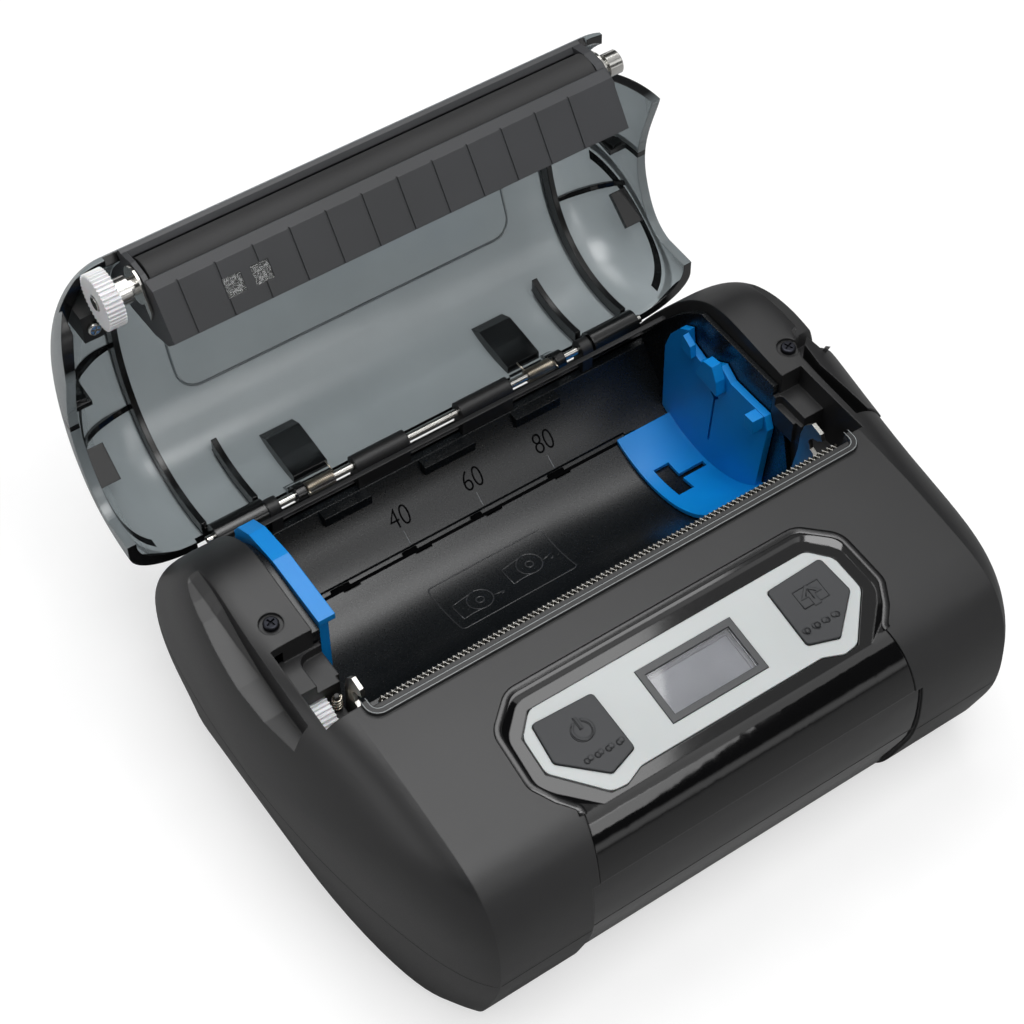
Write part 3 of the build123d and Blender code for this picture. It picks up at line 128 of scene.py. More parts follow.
def mouldedPlastic(look):  # injection moulded plastic: even colour, fine grain from the mould, soft edges
    material, tree, place, out = newMaterial(look["name"])
    shade = addNode(tree, "TexNoise", {"Scale": 1000 / look.get("cloudMm", 28), "Detail": 3}, {"Vector": place})
    colour = addNode(tree, "ValToRGB", {}, {"Fac": shade.outputs["Fac"]})
    rampStops(colour, [(.3, look["dark"]), (.72, look["light"])])
    grain = addNode(tree, "TexNoise", {"Scale": 1000 / look["grainMm"], "Detail": 2, "Roughness": .6},
                    {"Vector": place})
    gloss = addNode(tree, "MapRange", {"To Min": look["roughness"] - look.get("uneven", .04),
                                       "To Max": look["roughness"] + look.get("uneven", .04)},
                    {"Value": grain.outputs["Fac"]})
    edge = addNode(tree, "Bevel", {"samples": 4, "Radius": look.get("edgeMm", .3) * mm})
    bump = addNode(tree, "Bump", {"Strength": look.get("bump", .25), "Distance": look.get("depthMm", .03) * mm},
                   {"Height": grain.outputs["Fac"], "Normal": edge.outputs["Normal"]})
    paint, shine = colour.outputs["Color"], gloss.outputs["Result"]
    if "polishedMm" in look:  # a zone of the front that was polished in the mould like the gloss band above it
        zone = look["polishedMm"]
        spot = addNode(tree, "SeparateXYZ", {}, {"Vector": place})
        across = addNode(tree, "Math", {"operation": "ABSOLUTE"}, {0: spot.outputs["X"]})
        inside = addNode(tree, "Math", {"operation": "LESS_THAN", 1: zone["half"] * mm}, {0: across.outputs[0]})
        for axis, kind, limit in (("Y", "LESS_THAN", zone["front"]), ("Z", "GREATER_THAN", zone["low"]),
                                  ("Z", "LESS_THAN", zone["high"])):
            part = addNode(tree, "Math", {"operation": kind, 1: limit * mm}, {0: spot.outputs[axis]})
            inside = addNode(tree, "Math", {"operation": "MULTIPLY"}, {0: inside.outputs[0], 1: part.outputs[0]})
        paint = addNode(tree, "MixRGB", {"Color2": linear(zone["colour"])},
                        {"Fac": inside.outputs[0], "Color1": paint}).outputs[0]
        shine = addNode(tree, "MapRange", {"To Max": zone["roughness"]},
                        {"Value": inside.outputs[0], "To Min": shine}).outputs["Result"]
        relief = addNode(tree, "MapRange", {"To Min": look.get("bump", .25), "To Max": zone["bump"]},
                         {"Value": inside.outputs[0]})
        tree.links.new(relief.outputs["Result"], bump.inputs["Strength"])
    skin = addNode(tree, "BsdfPrincipled", {"IOR": look.get("ior", 1.53), "Subsurface Weight": look.get("glow", 0),
                                            "Subsurface Scale": .001},
                   {"Base Color": paint, "Roughness": shine, "Normal": bump.outputs["Normal"]})
    tree.links.new(skin.outputs[0], out.inputs["Surface"])
    return material


def bareMetal(look):  # metal with drawn or rolled streaks along X and a little tarnish
    material, tree, place, out = newMaterial(look["name"])
    stretch = addNode(tree, "Mapping", {"Scale": look.get("streak", (.06, 1, 1))}, {"Vector": place})
    lines = addNode(tree, "TexNoise", {"Scale": 1000 / look["grainMm"], "Detail": 4},
                    {"Vector": stretch.outputs["Vector"]})
    stain = addNode(tree, "TexNoise", {"Scale": 1000 / 5, "Detail": 3}, {"Vector": place})
    colour = addNode(tree, "ValToRGB", {}, {"Fac": stain.outputs["Fac"]})
    rampStops(colour, [(.32, look["dark"]), (.66, look["light"])])
    gloss = addNode(tree, "MapRange", {"To Min": look["roughness"] * .75, "To Max": look["roughness"] * 1.3},
                    {"Value": lines.outputs["Fac"]})
    edge = addNode(tree, "Bevel", {"samples": 4, "Radius": look.get("edgeMm", .12) * mm})
    bump = addNode(tree, "Bump", {"Strength": .2, "Distance": .01 * mm},
                   {"Height": lines.outputs["Fac"], "Normal": edge.outputs["Normal"]})
    skin = addNode(tree, "BsdfPrincipled", {"Metallic": 1.0},
                   {"Base Color": colour.outputs["Color"], "Roughness": gloss.outputs["Result"],
                    "Normal": bump.outputs["Normal"]})
    tree.links.new(skin.outputs[0], out.inputs["Surface"])
    return material


def clearPlastic(look):  # see-through plastic, faintly uneven; a ripple scatters what is behind it
    material, tree, place, out = newMaterial(look["name"])
    wave = addNode(tree, "TexNoise", {"Scale": 1000 / look.get("waveMm", 18), "Detail": 2}, {"Vector": place})
    colour = addNode(tree, "ValToRGB", {}, {"Fac": wave.outputs["Fac"]})
    rampStops(colour, [(.3, look["dark"]), (.7, look["light"])])
    bump = addNode(tree, "Bump", {"Strength": .9 if "rippleMm" in look else .12,
                                  "Distance": look.get("rippleMm", .05) * mm}, {"Height": wave.outputs["Fac"]})
    skin = addNode(tree, "BsdfPrincipled", {"Roughness": look["roughness"], "IOR": look["ior"],
                                            "Transmission Weight": look["clear"]},
                   {"Base Color": colour.outputs["Color"], "Normal": bump.outputs["Normal"]})
    tree.links.new(skin.outputs[0], out.inputs["Surface"])
    return material


# thin smoked wall: grey where light crosses it, black where it runs along the wall
# hoops, webs and the hinge barrel are seen through the wall, so they are dark bands of the same material
def smokedWall(look):
    material, tree, place, out = newMaterial(look["name"])
    normal = addNode(tree, "TexCoord").outputs["Normal"]
    wave = addNode(tree, "TexNoise", {"Scale": 1000 / look["waveMm"], "Detail": 2}, {"Vector": place})
    grey = addNode(tree, "ValToRGB", {}, {"Fac": wave.outputs["Fac"]})
    rampStops(grey, [(.3, look["dark"]), (.7, look["light"])])

    def fromLine(y, z):  # how this point lies from the line along X through y, z
        away = addNode(tree, "VectorMath", {"operation": "SUBTRACT", 1: (0, y * mm, z * mm)}, {0: place})
        return addNode(tree, "VectorMath", {"operation": "MULTIPLY", 1: (0, 1, 1)}, {0: away.outputs[0]})

    spoke = addNode(tree, "VectorMath", {"operation": "NORMALIZE"}, {0: fromLine(*look["axisMm"]).outputs[0]})
    along = addNode(tree, "VectorMath", {"operation": "CROSS_PRODUCT", 0: (1, 0, 0)}, {1: spoke.outputs[0]})
    edgeOn = addNode(tree, "VectorMath", {"operation": "DOT_PRODUCT"}, {0: normal, 1: along.outputs[0]})
    edgeOn = addNode(tree, "Math", {"operation": "ABSOLUTE"}, {0: edgeOn.outputs["Value"]})
    edgeOn = addNode(tree, "MapRange", {"From Min": look["edgeOnFrom"], "From Max": look["edgeOnTo"]},
                     {"Value": edgeOn.outputs[0]})
    outward = addNode(tree, "VectorMath", {"operation": "DOT_PRODUCT"}, {0: normal, 1: spoke.outputs[0]})
    inside = addNode(tree, "Math", {"operation": "LESS_THAN", 1: look["insideUnder"]}, {0: outward.outputs["Value"]})
    spot = addNode(tree, "SeparateXYZ", {}, {"Vector": place})
    across = addNode(tree, "Math", {"operation": "ABSOLUTE"}, {0: spot.outputs["X"]})
    low = addNode(tree, "Math", {"operation": "LESS_THAN", 1: look["shortHoopTopMm"] * mm}, {0: spot.outputs["Z"]})
    near = addNode(tree, "Math", {"operation": "LESS_THAN", 1: look["shortHoopBackMm"] * mm}, {0: spot.outputs["Y"]})
    bands = []
    for middle, limits in ((look["hoopMm"], ()), (look["shortHoopMm"], (low, near))):
        hoop = addNode(tree, "Math", {"operation": "COMPARE", 1: middle * mm, 2: look["hoopHalfMm"] * mm},
                       {0: across.outputs[0]})
        for limit in (inside,) + limits:
            hoop = addNode(tree, "Math", {"operation": "MULTIPLY"}, {0: hoop.outputs[0], 1: limit.outputs[0]})
        bands.append(hoop)
    for (y, z), (leanY, leanZ) in look["websMm"]:
        flat = addNode(tree, "VectorMath", {"operation": "DOT_PRODUCT", 1: (0, leanY, leanZ)}, {0: place})
        web = addNode(tree, "Math", {"operation": "COMPARE", 1: (y * leanY + z * leanZ) * mm,
                                     2: look["webHalfMm"] * mm},
                      {0: flat.outputs["Value"]})
        wing = addNode(tree, "Math", {"operation": "GREATER_THAN", 1: look["wingFromMm"] * mm},
                       {0: across.outputs[0]})
        for limit in (wing, inside):
            web = addNode(tree, "Math", {"operation": "MULTIPLY"}, {0: web.outputs[0], 1: limit.outputs[0]})
        bands.append(web)
    y, z, reach = look["barrelMm"]
    pin = addNode(tree, "VectorMath", {"operation": "LENGTH"}, {0: fromLine(y, z).outputs[0]})
    bands.append(addNode(tree, "Math", {"operation": "LESS_THAN", 1: reach * mm}, {0: pin.outputs["Value"]}))
    dark = edgeOn.outputs["Result"]
    for band in bands:
        dark = addNode(tree, "Math", {"operation": "MAXIMUM"}, {0: dark, 1: band.outputs[0]}).outputs[0]
    colour = addNode(tree, "MixRGB", {"Color2": linear(look["rim"])}, {"Fac": dark, "Color1": grey.outputs["Color"]})
    clear = addNode(tree, "MapRange", {"To Min": look["clear"], "To Max": .02}, {"Value": dark})
    edge = addNode(tree, "Bevel", {"samples": 4, "Radius": .4 * mm})
    bump = addNode(tree, "Bump", {"Strength": .1, "Distance": .05 * mm},
                   {"Height": wave.outputs["Fac"], "Normal": edge.outputs["Normal"]})
    skin = addNode(tree, "BsdfPrincipled", {"Roughness": look["roughness"], "IOR": 1.58},
                   {"Base Color": colour.outputs["Color"], "Transmission Weight": clear.outputs["Result"],
                    "Normal": bump.outputs["Normal"]})
    tree.links.new(skin.outputs[0], out.inputs["Surface"])
    return material


def boardLaminate(look):  # green solder mask over copper tracks 0.3 mm wide, drawn a little coarser to show
    material, tree, place, out = newMaterial(look["name"])
    tracks = addNode(tree, "TexBrick", {"Scale": 1000 / 3, "Color1": linear("#0E4A26"), "Color2": linear("#125A2E"),
                                        "Mortar": linear("#1F7A44"), "Mortar Size": .05, "Brick Width": .9},
                     {"Vector": place})
    speck = addNode(tree, "TexVoronoi", {"Scale": 1000 / 2.4}, {"Vector": place})
    pads = addNode(tree, "Math", {"operation": "LESS_THAN", 1: .16}, {0: speck.outputs["Distance"]})
    colour = addNode(tree, "MixRGB", {"Color2": linear("#C9B27A")},
                     {"Fac": pads.outputs[0], "Color1": tracks.outputs["Color"]})
    skin = addNode(tree, "BsdfPrincipled", {"Roughness": .35, "IOR": 1.55}, {"Base Color": colour.outputs["Color"]})
    tree.links.new(skin.outputs[0], out.inputs["Surface"])
    return material


polishedFront = {"half": 41.7, "front": -50, "low": 3.5, "high": 43.1,  # set-back middle of the front, in mm
                 "colour": "#08080A", "roughness": .08, "bump": .02}
sparked = {"grainMm": .35, "bump": .35, "depthMm": .035, "edgeMm": .45, "polishedMm": polishedFront}
fineLineSkin = {"grainMm": .3, "bump": .05, "edgeMm": .05}
finish = {
    # ABS off a spark-eroded mould: near black, a 0.35 mm grain that spreads the light softly
    "case_plastic": mouldedPlastic({"name": "sparkedAbsBlack", "dark": "#161617", "light": "#1B1B1C",
                                    "roughness": .45, **sparked}),
    # the same ABS on the lower half, a touch duller where hands rub it
    "base_plastic": mouldedPlastic({"name": "sparkedAbsBase", "dark": "#171718", "light": "#1C1C1D", "roughness": .47,
                                    **sparked}),
    # ABS polished in the mould: piano black, mirrors the room with faint haze
    "piano_plastic": mouldedPlastic({"name": "polishedAbsBlack", "dark": "#070708", "light": "#0A0A0B",
                                     "roughness": .07, "grainMm": 1.2, "bump": .02, "uneven": .02, "edgeMm": .35}),
    # light grey ABS with a silky skin
    "panel_plastic": mouldedPlastic({"name": "silkAbsGrey", "dark": "#B2B6B6", "light": "#B9BDBD", "roughness": .42,
                                     "grainMm": .3, "bump": .1, "edgeMm": .35, "glow": .05}),
    # dark grey ABS of the display frame, the lever and small mouldings
    "bezel_plastic": mouldedPlastic({"name": "satinAbsDark", "dark": "#1B1B1C", "light": "#212122", "roughness": .42,
                                     "grainMm": .3, "bump": .2, "edgeMm": .25}),
    # silicone key tops: dark grey, dull, slightly soft at the edges
    "button_plastic": mouldedPlastic({"name": "siliconeKeyGrey", "dark": "#363739", "light": "#3B3C3E",
                                      "roughness": .6, "grainMm": .25, "bump": .2, "edgeMm": .5, "ior": 1.43}),
    # satin ABS of the bay: almost black, with a long soft sheen down the trough
    "bay_plastic": mouldedPlastic({"name": "satinAbsBlack", "dark": "#0A0D0F", "light": "#0E1114", "roughness": .28,
                                   "grainMm": .5, "bump": .05, "edgeMm": .25}),
    # polypropylene guides: saturated blue that glows a little where it is thin
    "guide_plastic": mouldedPlastic({"name": "mouldedPpBlue", "dark": "#007CC8", "light": "#0486D6", "roughness": .38,
                                     "grainMm": .8, "bump": .08, "edgeMm": .3, "glow": .15, "ior": 1.49}),
    # smoked polycarbonate lid: satin grey, black along its rim and over its ribs
    "smoked_plastic": smokedWall({"name": "smokedPolycarbonate", "dark": "#A4ADB0", "light": "#ABB4B7",
                                  "rim": "#0B0C0D", "roughness": .23, "waveMm": 18, "clear": .6,
                                  "axisMm": (60.3, 65.8), "hoopMm": 57.1, "shortHoopMm": 44.0, "shortHoopTopMm": 43.2,
                                  "shortHoopBackMm": 79.8, "hoopHalfMm": .76, "webHalfMm": .8, "wingFromMm": 68.3,
                                  "insideUnder": .35, "edgeOnFrom": .5, "edgeOnTo": .75,
                                  "barrelMm": (57.2, 35.7, 3.7),
                                  "websMm": (((80.0, 47.0), (.6227, -.7826)), ((86.0, 62.9), (.113, -.9936)))}),
    # acrylic window over the display, clear and flat
    "window_plastic": clearPlastic({"name": "clearAcrylic", "dark": "#D8DADC", "light": "#DEE0E2", "roughness": .03,
                                    "ior": 1.49, "clear": .95}),
    # styrene sensor windows: clear, with a ripple that breaks up the board behind
    "lens_plastic": clearPlastic({"name": "clearStyrene", "dark": "#C9CCCC", "light": "#F0F2F2", "roughness": .04,
                                  "ior": 1.59, "clear": .95, "waveMm": 1.3, "rippleMm": .35}),
    # LCD glass with a grey polariser on it
    "display_glass": mouldedPlastic({"name": "lcdPolariser", "dark": "#B9B7BC", "light": "#D2D0D5", "roughness": .25,
                                     "grainMm": .5, "cloudMm": 12, "bump": .03, "edgeMm": .1}),
    "circuit_board": boardLaminate({"name": "solderMaskGreen"}),
    # epoxy bodies of chips and sockets: matt black
    "chip_resin": mouldedPlastic({"name": "mouldedEpoxyBlack", "dark": "#141414", "light": "#1C1C1C",
                                  "roughness": .55, "grainMm": .2, "bump": .3, "edgeMm": .1}),
    # acetal and nylon gears: warm white, waxy, light bleeds into the teeth
    "nylon": mouldedPlastic({"name": "naturalNylon", "dark": "#E6E5E0", "light": "#EFEEEA", "roughness": .42,
                             "grainMm": .5, "bump": .08, "edgeMm": .12, "glow": .3}),
    # ground rubber of the roller: matt black with a fine even tooth
    "roller_rubber": mouldedPlastic({"name": "groundSiliconeBlack", "dark": "#1B1B1C", "light": "#232324",
                                     "roughness": .68, "grainMm": .3, "bump": .55, "depthMm": .05, "edgeMm": .3}),
    # moulded rubber feet: dull, no shine at all
    "foot_rubber": mouldedPlastic({"name": "mouldedNitrileBlack", "dark": "#181818", "light": "#202020",
                                   "roughness": .75, "grainMm": .4, "bump": .4, "edgeMm": .4}),
    # polished steel of shafts, clips and screws: clean bright streaks
    "bright_steel": bareMetal({"name": "polishedSteel", "dark": "#C4C2BD", "light": "#D6D5D1", "roughness": .2,
                               "grainMm": .15}),
    # cold rolled sheet of the hooks: softer and greyer than the shafts
    "sheet_steel": bareMetal({"name": "rolledSheetSteel", "dark": "#A9A7A2", "light": "#BDBCB7", "roughness": .32,
                              "grainMm": .12}),
    # drawn spring wire with a slight straw tint
    "spring_steel": bareMetal({"name": "drawnSpringWire", "dark": "#A89F90", "light": "#CFC7B8", "roughness": .26,
                               "grainMm": .1, "streak": (1, 1, 1)}),
    # blackened steel of the screws and the head's bracket: dark with a dull shine
    "black_steel": bareMetal({"name": "blackenedSteel", "dark": "#26272A", "light": "#33343A", "roughness": .45,
                              "grainMm": .2}),
    # milled aluminium bar under the head: pale, with fine tool marks
    "sink_metal": bareMetal({"name": "milledAluminium", "dark": "#B4B6B8", "light": "#C9CBCD", "roughness": .34,
                             "grainMm": .2}),
    # glazed ceramic face of the head: warm brown with a hard shine
    "head_ceramic": mouldedPlastic({"name": "glazedAlumina", "dark": "#8A7A64", "light": "#9A8A72", "roughness": .14,
                                    "grainMm": 1, "bump": .04, "edgeMm": .1}),
    # plated can of the motor: cool grey, a little cloudy
    "motor_steel": bareMetal({"name": "zincPlatedSteel", "dark": "#9B9C9E", "light": "#B9BABC", "roughness": .3,
                              "grainMm": .3}),
    # cut brass pinion: yellow, crisp edges
    "brass_pinion": bareMetal({"name": "cutBrass", "dark": "#B78F45", "light": "#D2AC60", "roughness": .25,
                               "grainMm": .15}),
    # shrink film round the cells: dark blue with a soft shine
    "cell_wrap": mouldedPlastic({"name": "shrinkFilmBlue", "dark": "#121C33", "light": "#18264A", "roughness": .28,
                                 "grainMm": 2, "bump": .2, "edgeMm": .8}),
    # tinned shell of the data socket: light and even
    "socket_metal": bareMetal({"name": "tinnedSteel", "dark": "#B9B9B6", "light": "#CFCFCC", "roughness": .24,
                               "grainMm": .15}),
}
# the lid's thick tongues and webs: no light gets through
thick = mouldedPlastic({"name": "thickSmokedPolycarbonate", "dark": "#0C0D0E", "light": "#131516", "roughness": .12,
                        "grainMm": 6, "bump": .03, "edgeMm": .4})
# display frame: satin, a shade darker than the keys
frameGrey = mouldedPlastic({"name": "satinAbsGrey", "dark": "#323436", "light": "#3A3B3D", "roughness": .4,
                            "grainMm": .3, "bump": .1, "edgeMm": .3})
# board behind the sensor windows: black solder mask, dull enough not to show
blackMask = mouldedPlastic({"name": "solderMaskBlack", "dark": "#0C0D0C", "light": "#1B1D1B", "roughness": .4,
                            "grainMm": .8, "bump": .2, "edgeMm": .1})
# etched sheet of the tear bar, painted dull and dark: painted shade over its face, so that its teeth stand out
barShade = bareMetal({"name": "shadedTearBarSteel", "dark": "#3E3C38", "light": "#4B4944", "roughness": .5,
                      "grainMm": .12})
# glass filled nylon of the roller's holder: dull grey
holderGrey = mouldedPlastic({"name": "moulded20GlassNylon", "dark": "#2E2F31", "light": "#36373A", "roughness": .5,
                             "grainMm": .4, "bump": .2, "edgeMm": .25})
# nodes that need another material than their slot's
own = {"tear_bar": barShade, "platen_holder": holderGrey, "spring_tabs": thick, "display_frame": frameGrey,
       "sensor_board": blackMask}
for part in frame["record"]["subparts"]:
    for held in nodes[part["node"]].material_slots:
        held.material = own.get(part["node"], finish[part["material_slot"]])


# printed and embossed marks in the paper bay, laid on the trough's curve

bay = {"middleY": 28.65, "middleZ": 44.5, "radius": 30.0, "zeroX": -55.55, "widths": (40, 60, 80),
       "digitTall": 5.2, "fontPerTall": 1.38, "digitThin": -.11, "digitShift": .6, "digitNarrow": .78,
       "digitArc": 19.1, "raise": .1, "tickArc": 14.6, "tickStep": .6, "tickLine": .14, "lift": .02}


def onTrough(x, arc, lift=0.0):  # arc is measured from the lowest line of the trough, up its back wall
    a = arc / bay["radius"]
    r = bay["radius"] - lift
    return Vector((x, bay["middleY"] + r * sin(a), bay["middleZ"] - r * cos(a))) * mm


def toBayAxis(point):
    return Vector((0, bay["middleY"] * mm - point.y, bay["middleZ"] * mm - point.z)).normalized()


# deep etched marks swallow the light: painted shade, drawn near black
etchShadeBlack = mouldedPlastic({"name": "etchShadeAbsBlack", "dark": "#020203", "light": "#040405", "roughness": .9,
                           "ior": 1.12, "grainMm": .3, "bump": .1, "edgeMm": .1})
# raised tick lines that catch the light: painted light grey, a painted highlight
tickHighlightGrey = mouldedPlastic({"name": "tickHighlightAbs", "dark": "#5E6062", "light": "#707274", "roughness": .3,
                           **fineLineSkin})
ticks = [[onTrough(bay["zeroX"] + w, bay["tickArc"] + i * bay["tickStep"], bay["lift"]) for i in range(7)]
         for w in bay["widths"]]
addPiece("scaleTicks", *sweep(ticks, bay["tickLine"] * mm, 6, .6, toBayAxis), "case", tickHighlightGrey, slot="bezel_plastic")

for width in bay["widths"]:
    words = bpy.data.curves.new("digits", "FONT")
    words.body = str(width)
    words.size = bay["digitTall"] * bay["fontPerTall"]
    words.align_x = "CENTER"
    words.extrude = bay["raise"]
    words.offset = bay["digitThin"]
    flatDigits = bpy.data.objects.new("digits", words)
    bpy.context.collection.objects.link(flatDigits)
    mesh = bpy.data.meshes.new_from_object(flatDigits.evaluated_get(bpy.context.evaluated_depsgraph_get()))
    bpy.data.objects.remove(flatDigits)
    points = [onTrough(bay["zeroX"] + width + bay["digitShift"] + v.co.x * bay["digitNarrow"],
                       bay["digitArc"] + v.co.y, v.co.z + bay["lift"]) for v in mesh.vertices]
    faces = [tuple(p.vertices) for p in mesh.polygons]
    addPiece("scaleNumber" + str(width), points, faces, "case", etchShadeBlack, False, "chip_resin")

plate = {"x": (-18.4, 12.9), "arc": (-12.2, 3.3), "line": .17, "corner": 1.1, "lift": .03,
         "rolls": ((-10.0, -6.0), (5.0, -3.8)), "rollRadius": 3.1, "coreRadius": .95,
         "paperRun": 6.2, "paperSag": 1.2, "paperFall": .9}


def ring(cx, cs, radius, steps=40):
    turns = [2 * pi * i / steps for i in range(steps)]
    return [onTrough(cx + radius * cos(a), cs + radius * sin(a), plate["lift"]) for a in turns]


def plateOutline():
    (x0, x1), (s0, s1), c = plate["x"], plate["arc"], plate["corner"]
    corners = ((x1 - c, s1 - c, 0), (x0 + c, s1 - c, pi / 2), (x0 + c, s0 + c, pi), (x1 - c, s0 + c, 3 * pi / 2))
    rounded = []
    for cx, cs, a in corners:
        rounded += [(cx + c * cos(a + pi / 2 * i / 5), cs + c * sin(a + pi / 2 * i / 5)) for i in range(6)]
    full = []
    for i, (x, s) in enumerate(rounded):
        nx, ns = rounded[(i + 1) % len(rounded)]
        steps = max(1, int(abs(ns - s)))
        full += [(x + (nx - x) * k / steps, s + (ns - s) * k / steps) for k in range(steps)]
    return [onTrough(x, s, plate["lift"]) for x, s in full]


# embossed lines of the loading mark: satin, a shade lighter than the trough
markGrey = mouldedPlastic({"name": "satinAbsLine", "dark": "#2E2F31", "light": "#3A3B3D", "roughness": .28,
                           **fineLineSkin})
marks = [plateOutline()]
for cx, cs in plate["rolls"]:
    marks.append(ring(cx, cs, plate["rollRadius"]))
    marks.append(ring(cx, cs, plate["coreRadius"], 20))
closed = list(range(len(marks)))
for n, (cx, cs) in enumerate(plate["rolls"]):  # the paper leaves each roll and its two guides stand beside it
    r, run, fall = plate["rollRadius"], plate["paperRun"], plate["paperFall"]
    strokes = [[(cx - run * t, cs - r + plate["paperSag"] * t * (1 - t)) for t in (0, .2, .4, .6, .8, 1)],
               [(cx - run * t, cs + r - fall * t) for t in (0, .25, .5, .75, 1)],
               [(cx - run, cs - r + (2 * r - fall) * t) for t in (0, .33, .66, 1)],
               [(cx + r + .2 + 2.6 * t, cs - .8 + (.6 * t if n else -.4 * t)) for t in (0, .5, 1)],
               [(cx + r + 1.8 + k, cs - 1.6 + (.5 if k > .5 else 0)) for k in (0, .5, 1.0)]]
    marks += [[onTrough(x, s, plate["lift"]) for x, s in stroke] for stroke in strokes]
addPiece("loadingMark", *sweep(marks, plate["line"] * mm, 6, .7, toBayAxis, closed), "case", markGrey,
         slot="bay_plastic")

# slot that the sliding guide runs in, with four wider places: drawn as near-black lines, painted shade down in the
# slot
slide = {"arc": 12.75, "lineMm": .5, "lift": -.15, "notchMm": .8, "notchArc": 13.25, "notchLift": -.3,
         "from": -55.4, "to": 55.0, "notches": ((-37.5, -32.7), (-18.3, -14.6), (.4, 3.2), (22.1, 26.4))}
grooveLine = [[onTrough(slide["from"] + (slide["to"] - slide["from"]) * i / 4, slide["arc"], slide["lift"])
               for i in range(5)]]
addPiece("slideGroove", *sweep(grooveLine, slide["lineMm"] * mm, 6, .5, toBayAxis), "case", etchShadeBlack,
         slot="bay_plastic")
notchLines = [[onTrough(x, slide["notchArc"], slide["notchLift"]) for x in ends] for ends in slide["notches"]]
addPiece("slideNotches", *sweep(notchLines, slide["notchMm"] * mm, 6, .5, toBayAxis), "case", etchShadeBlack,
         slot="bay_plastic")
print("bay marks made")


# teeth of the tear bar: one bright zigzag along its edge, on the spacing of the CAD's own teeth; its brightness is a
# painted highlight of their lit flanks

teeth = {"from": -57.6, "to": 57.4, "pitch": 1.205, "front": -14.62, "back": -13.38, "height": 60.4, "wireMm": .21}
flanks = int((teeth["to"] - teeth["from"]) / teeth["pitch"]) * 2
zigzag = [Vector((teeth["from"] + i * teeth["pitch"] / 2, teeth["back"] if i % 2 else teeth["front"],
                  teeth["height"])) * mm
          for i in range(flanks + 1)]
# painted highlight of the teeth's stamped edges: bright, but rough enough to show from every side
toothHighlightSteel = bareMetal({"name": "paintedHighlightTeeth", "dark": "#B5B2AC", "light": "#C6C4BF", "roughness": .55,
                        "grainMm": .12})
addPiece("tearTeeth", *sweep([zigzag], teeth["wireMm"] * mm, 8, 1.0), "case", toothHighlightSteel, slot="sheet_steel")


# the bead round the paper mouth: its two top edges drawn as light grey lines, a painted highlight on its rounded top

beadHighlightGrey = mouldedPlastic({"name": "beadHighlightAbs", "dark": "#808485", "light": "#8C9091", "roughness": .3,
                           **fineLineSkin})
bead = {"outerY": -17.6, "backY": -12.6, "half": 61.6, "corner": 3.2, "top": 61.38, "edgesIn": (.18, 1.32),
        "line": .11}
beadLines = []
for edgeIn in bead["edgesIn"]:
    flatLine = []
    for side in (-1, 1):
        middleX, middleY = side * (bead["half"] - bead["corner"]), bead["outerY"] + bead["corner"]
        r = bead["corner"] - edgeIn
        arm = [(side * (bead["half"] - edgeIn), bead["backY"])]
        arm += [(middleX + side * r * cos(pi / 16 * i), middleY - r * sin(pi / 16 * i)) for i in range(9)]
        flatLine += arm if side < 0 else arm[::-1]
    beadLines.append([Vector((x, y, bead["top"])) * mm for x, y in flatLine])
addPiece("mouthBeadEdges", *sweep(beadLines, bead["line"] * mm, 8, .5), "case", beadHighlightGrey, slot="case_plastic")


# the two gears in the left wells, with their many fine teeth

gearForm = {"teeth": 40, "pitchMm": 6.0, "addMm": .3, "rootMm": .36, "rootShare": .30, "tipShare": .13}
# acetal, whiter than nylon
gearWhite = mouldedPlastic({"name": "mouldedAcetalWhite", "dark": "#E4E4E6", "light": "#ECECEE", "roughness": .36,
                            "grainMm": .5, "bump": .05, "edgeMm": .06, "glow": .12})


# a spur gear on the node's own axis, as wide as the node; toothAt is where a tooth points, in degrees
def addGear(name, node, body, shaftMm, inward, toothAt):
    low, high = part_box(node)
    low, high = Vector(low), Vector(high)
    middle = (low + high) / 2
    x0, x1 = low.x + inward * mm, high.x + inward * mm
    reach = gearForm["pitchMm"] + gearForm["addMm"]
    root = gearForm["pitchMm"] - gearForm["rootMm"]
    foot, tip = gearForm["rootShare"], gearForm["tipShare"]
    toothed = []
    for i in range(gearForm["teeth"]):
        for share, radius in ((-foot, root), (-tip, reach), (tip, reach), (foot, root)):
            a = 2 * pi * (i + share) / gearForm["teeth"] + radians(toothAt)
            toothed.append((radius * cos(a), radius * sin(a)))
    around = len(toothed)
    points = [Vector((x, middle.y + y * mm, middle.z + z * mm)) for x in (x0, x1) for y, z in toothed]
    for x in (x0, x1):
        points += [Vector((x, middle.y + shaftMm * y / reach * mm, middle.z + shaftMm * z / reach * mm))
                   for y, z in toothed]
    faces = []
    for k in range(around):
        m = (k + 1) % around
        faces += [(k, m, around + m, around + k),
                  (2 * around + k, 3 * around + k, 3 * around + m, 2 * around + m),
                  (k, 2 * around + k, 2 * around + m, m),
                  (around + k, around + m, 3 * around + m, 3 * around + k)]
    piece = addPiece(name, points, faces, body, gearWhite, False, "nylon")
    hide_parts(node)


addGear("rollerGear", "platen_gear", "platen", 2.0, .9, -145.5)
addGear("idlerGear", "idler_gear", "idler", 1.3, 0, 130.5)
print("gears made")


# lid: the raised edge of its window and the webs in its wings, laid on its inner skin

lidForm = {"axis": (60.3, 65.8), "hinge": (57.2, 35.7), "shut": (.02618, .99966), "half": 45.0, "nearY": 47.4,
           "farY": 8.0, "corner": 5.0, "beadMm": .34, "sunk": .12, "sideSteps": 24, "cornerSteps": 7,
           "frontSteps": 12, "webs": (45.3, 29.3), "webInner": 57.9, "webOuter": 72.4, "webThick": 1.2,
           "webDeep": 2.2, "webRoot": .5, "webSteps": 10}


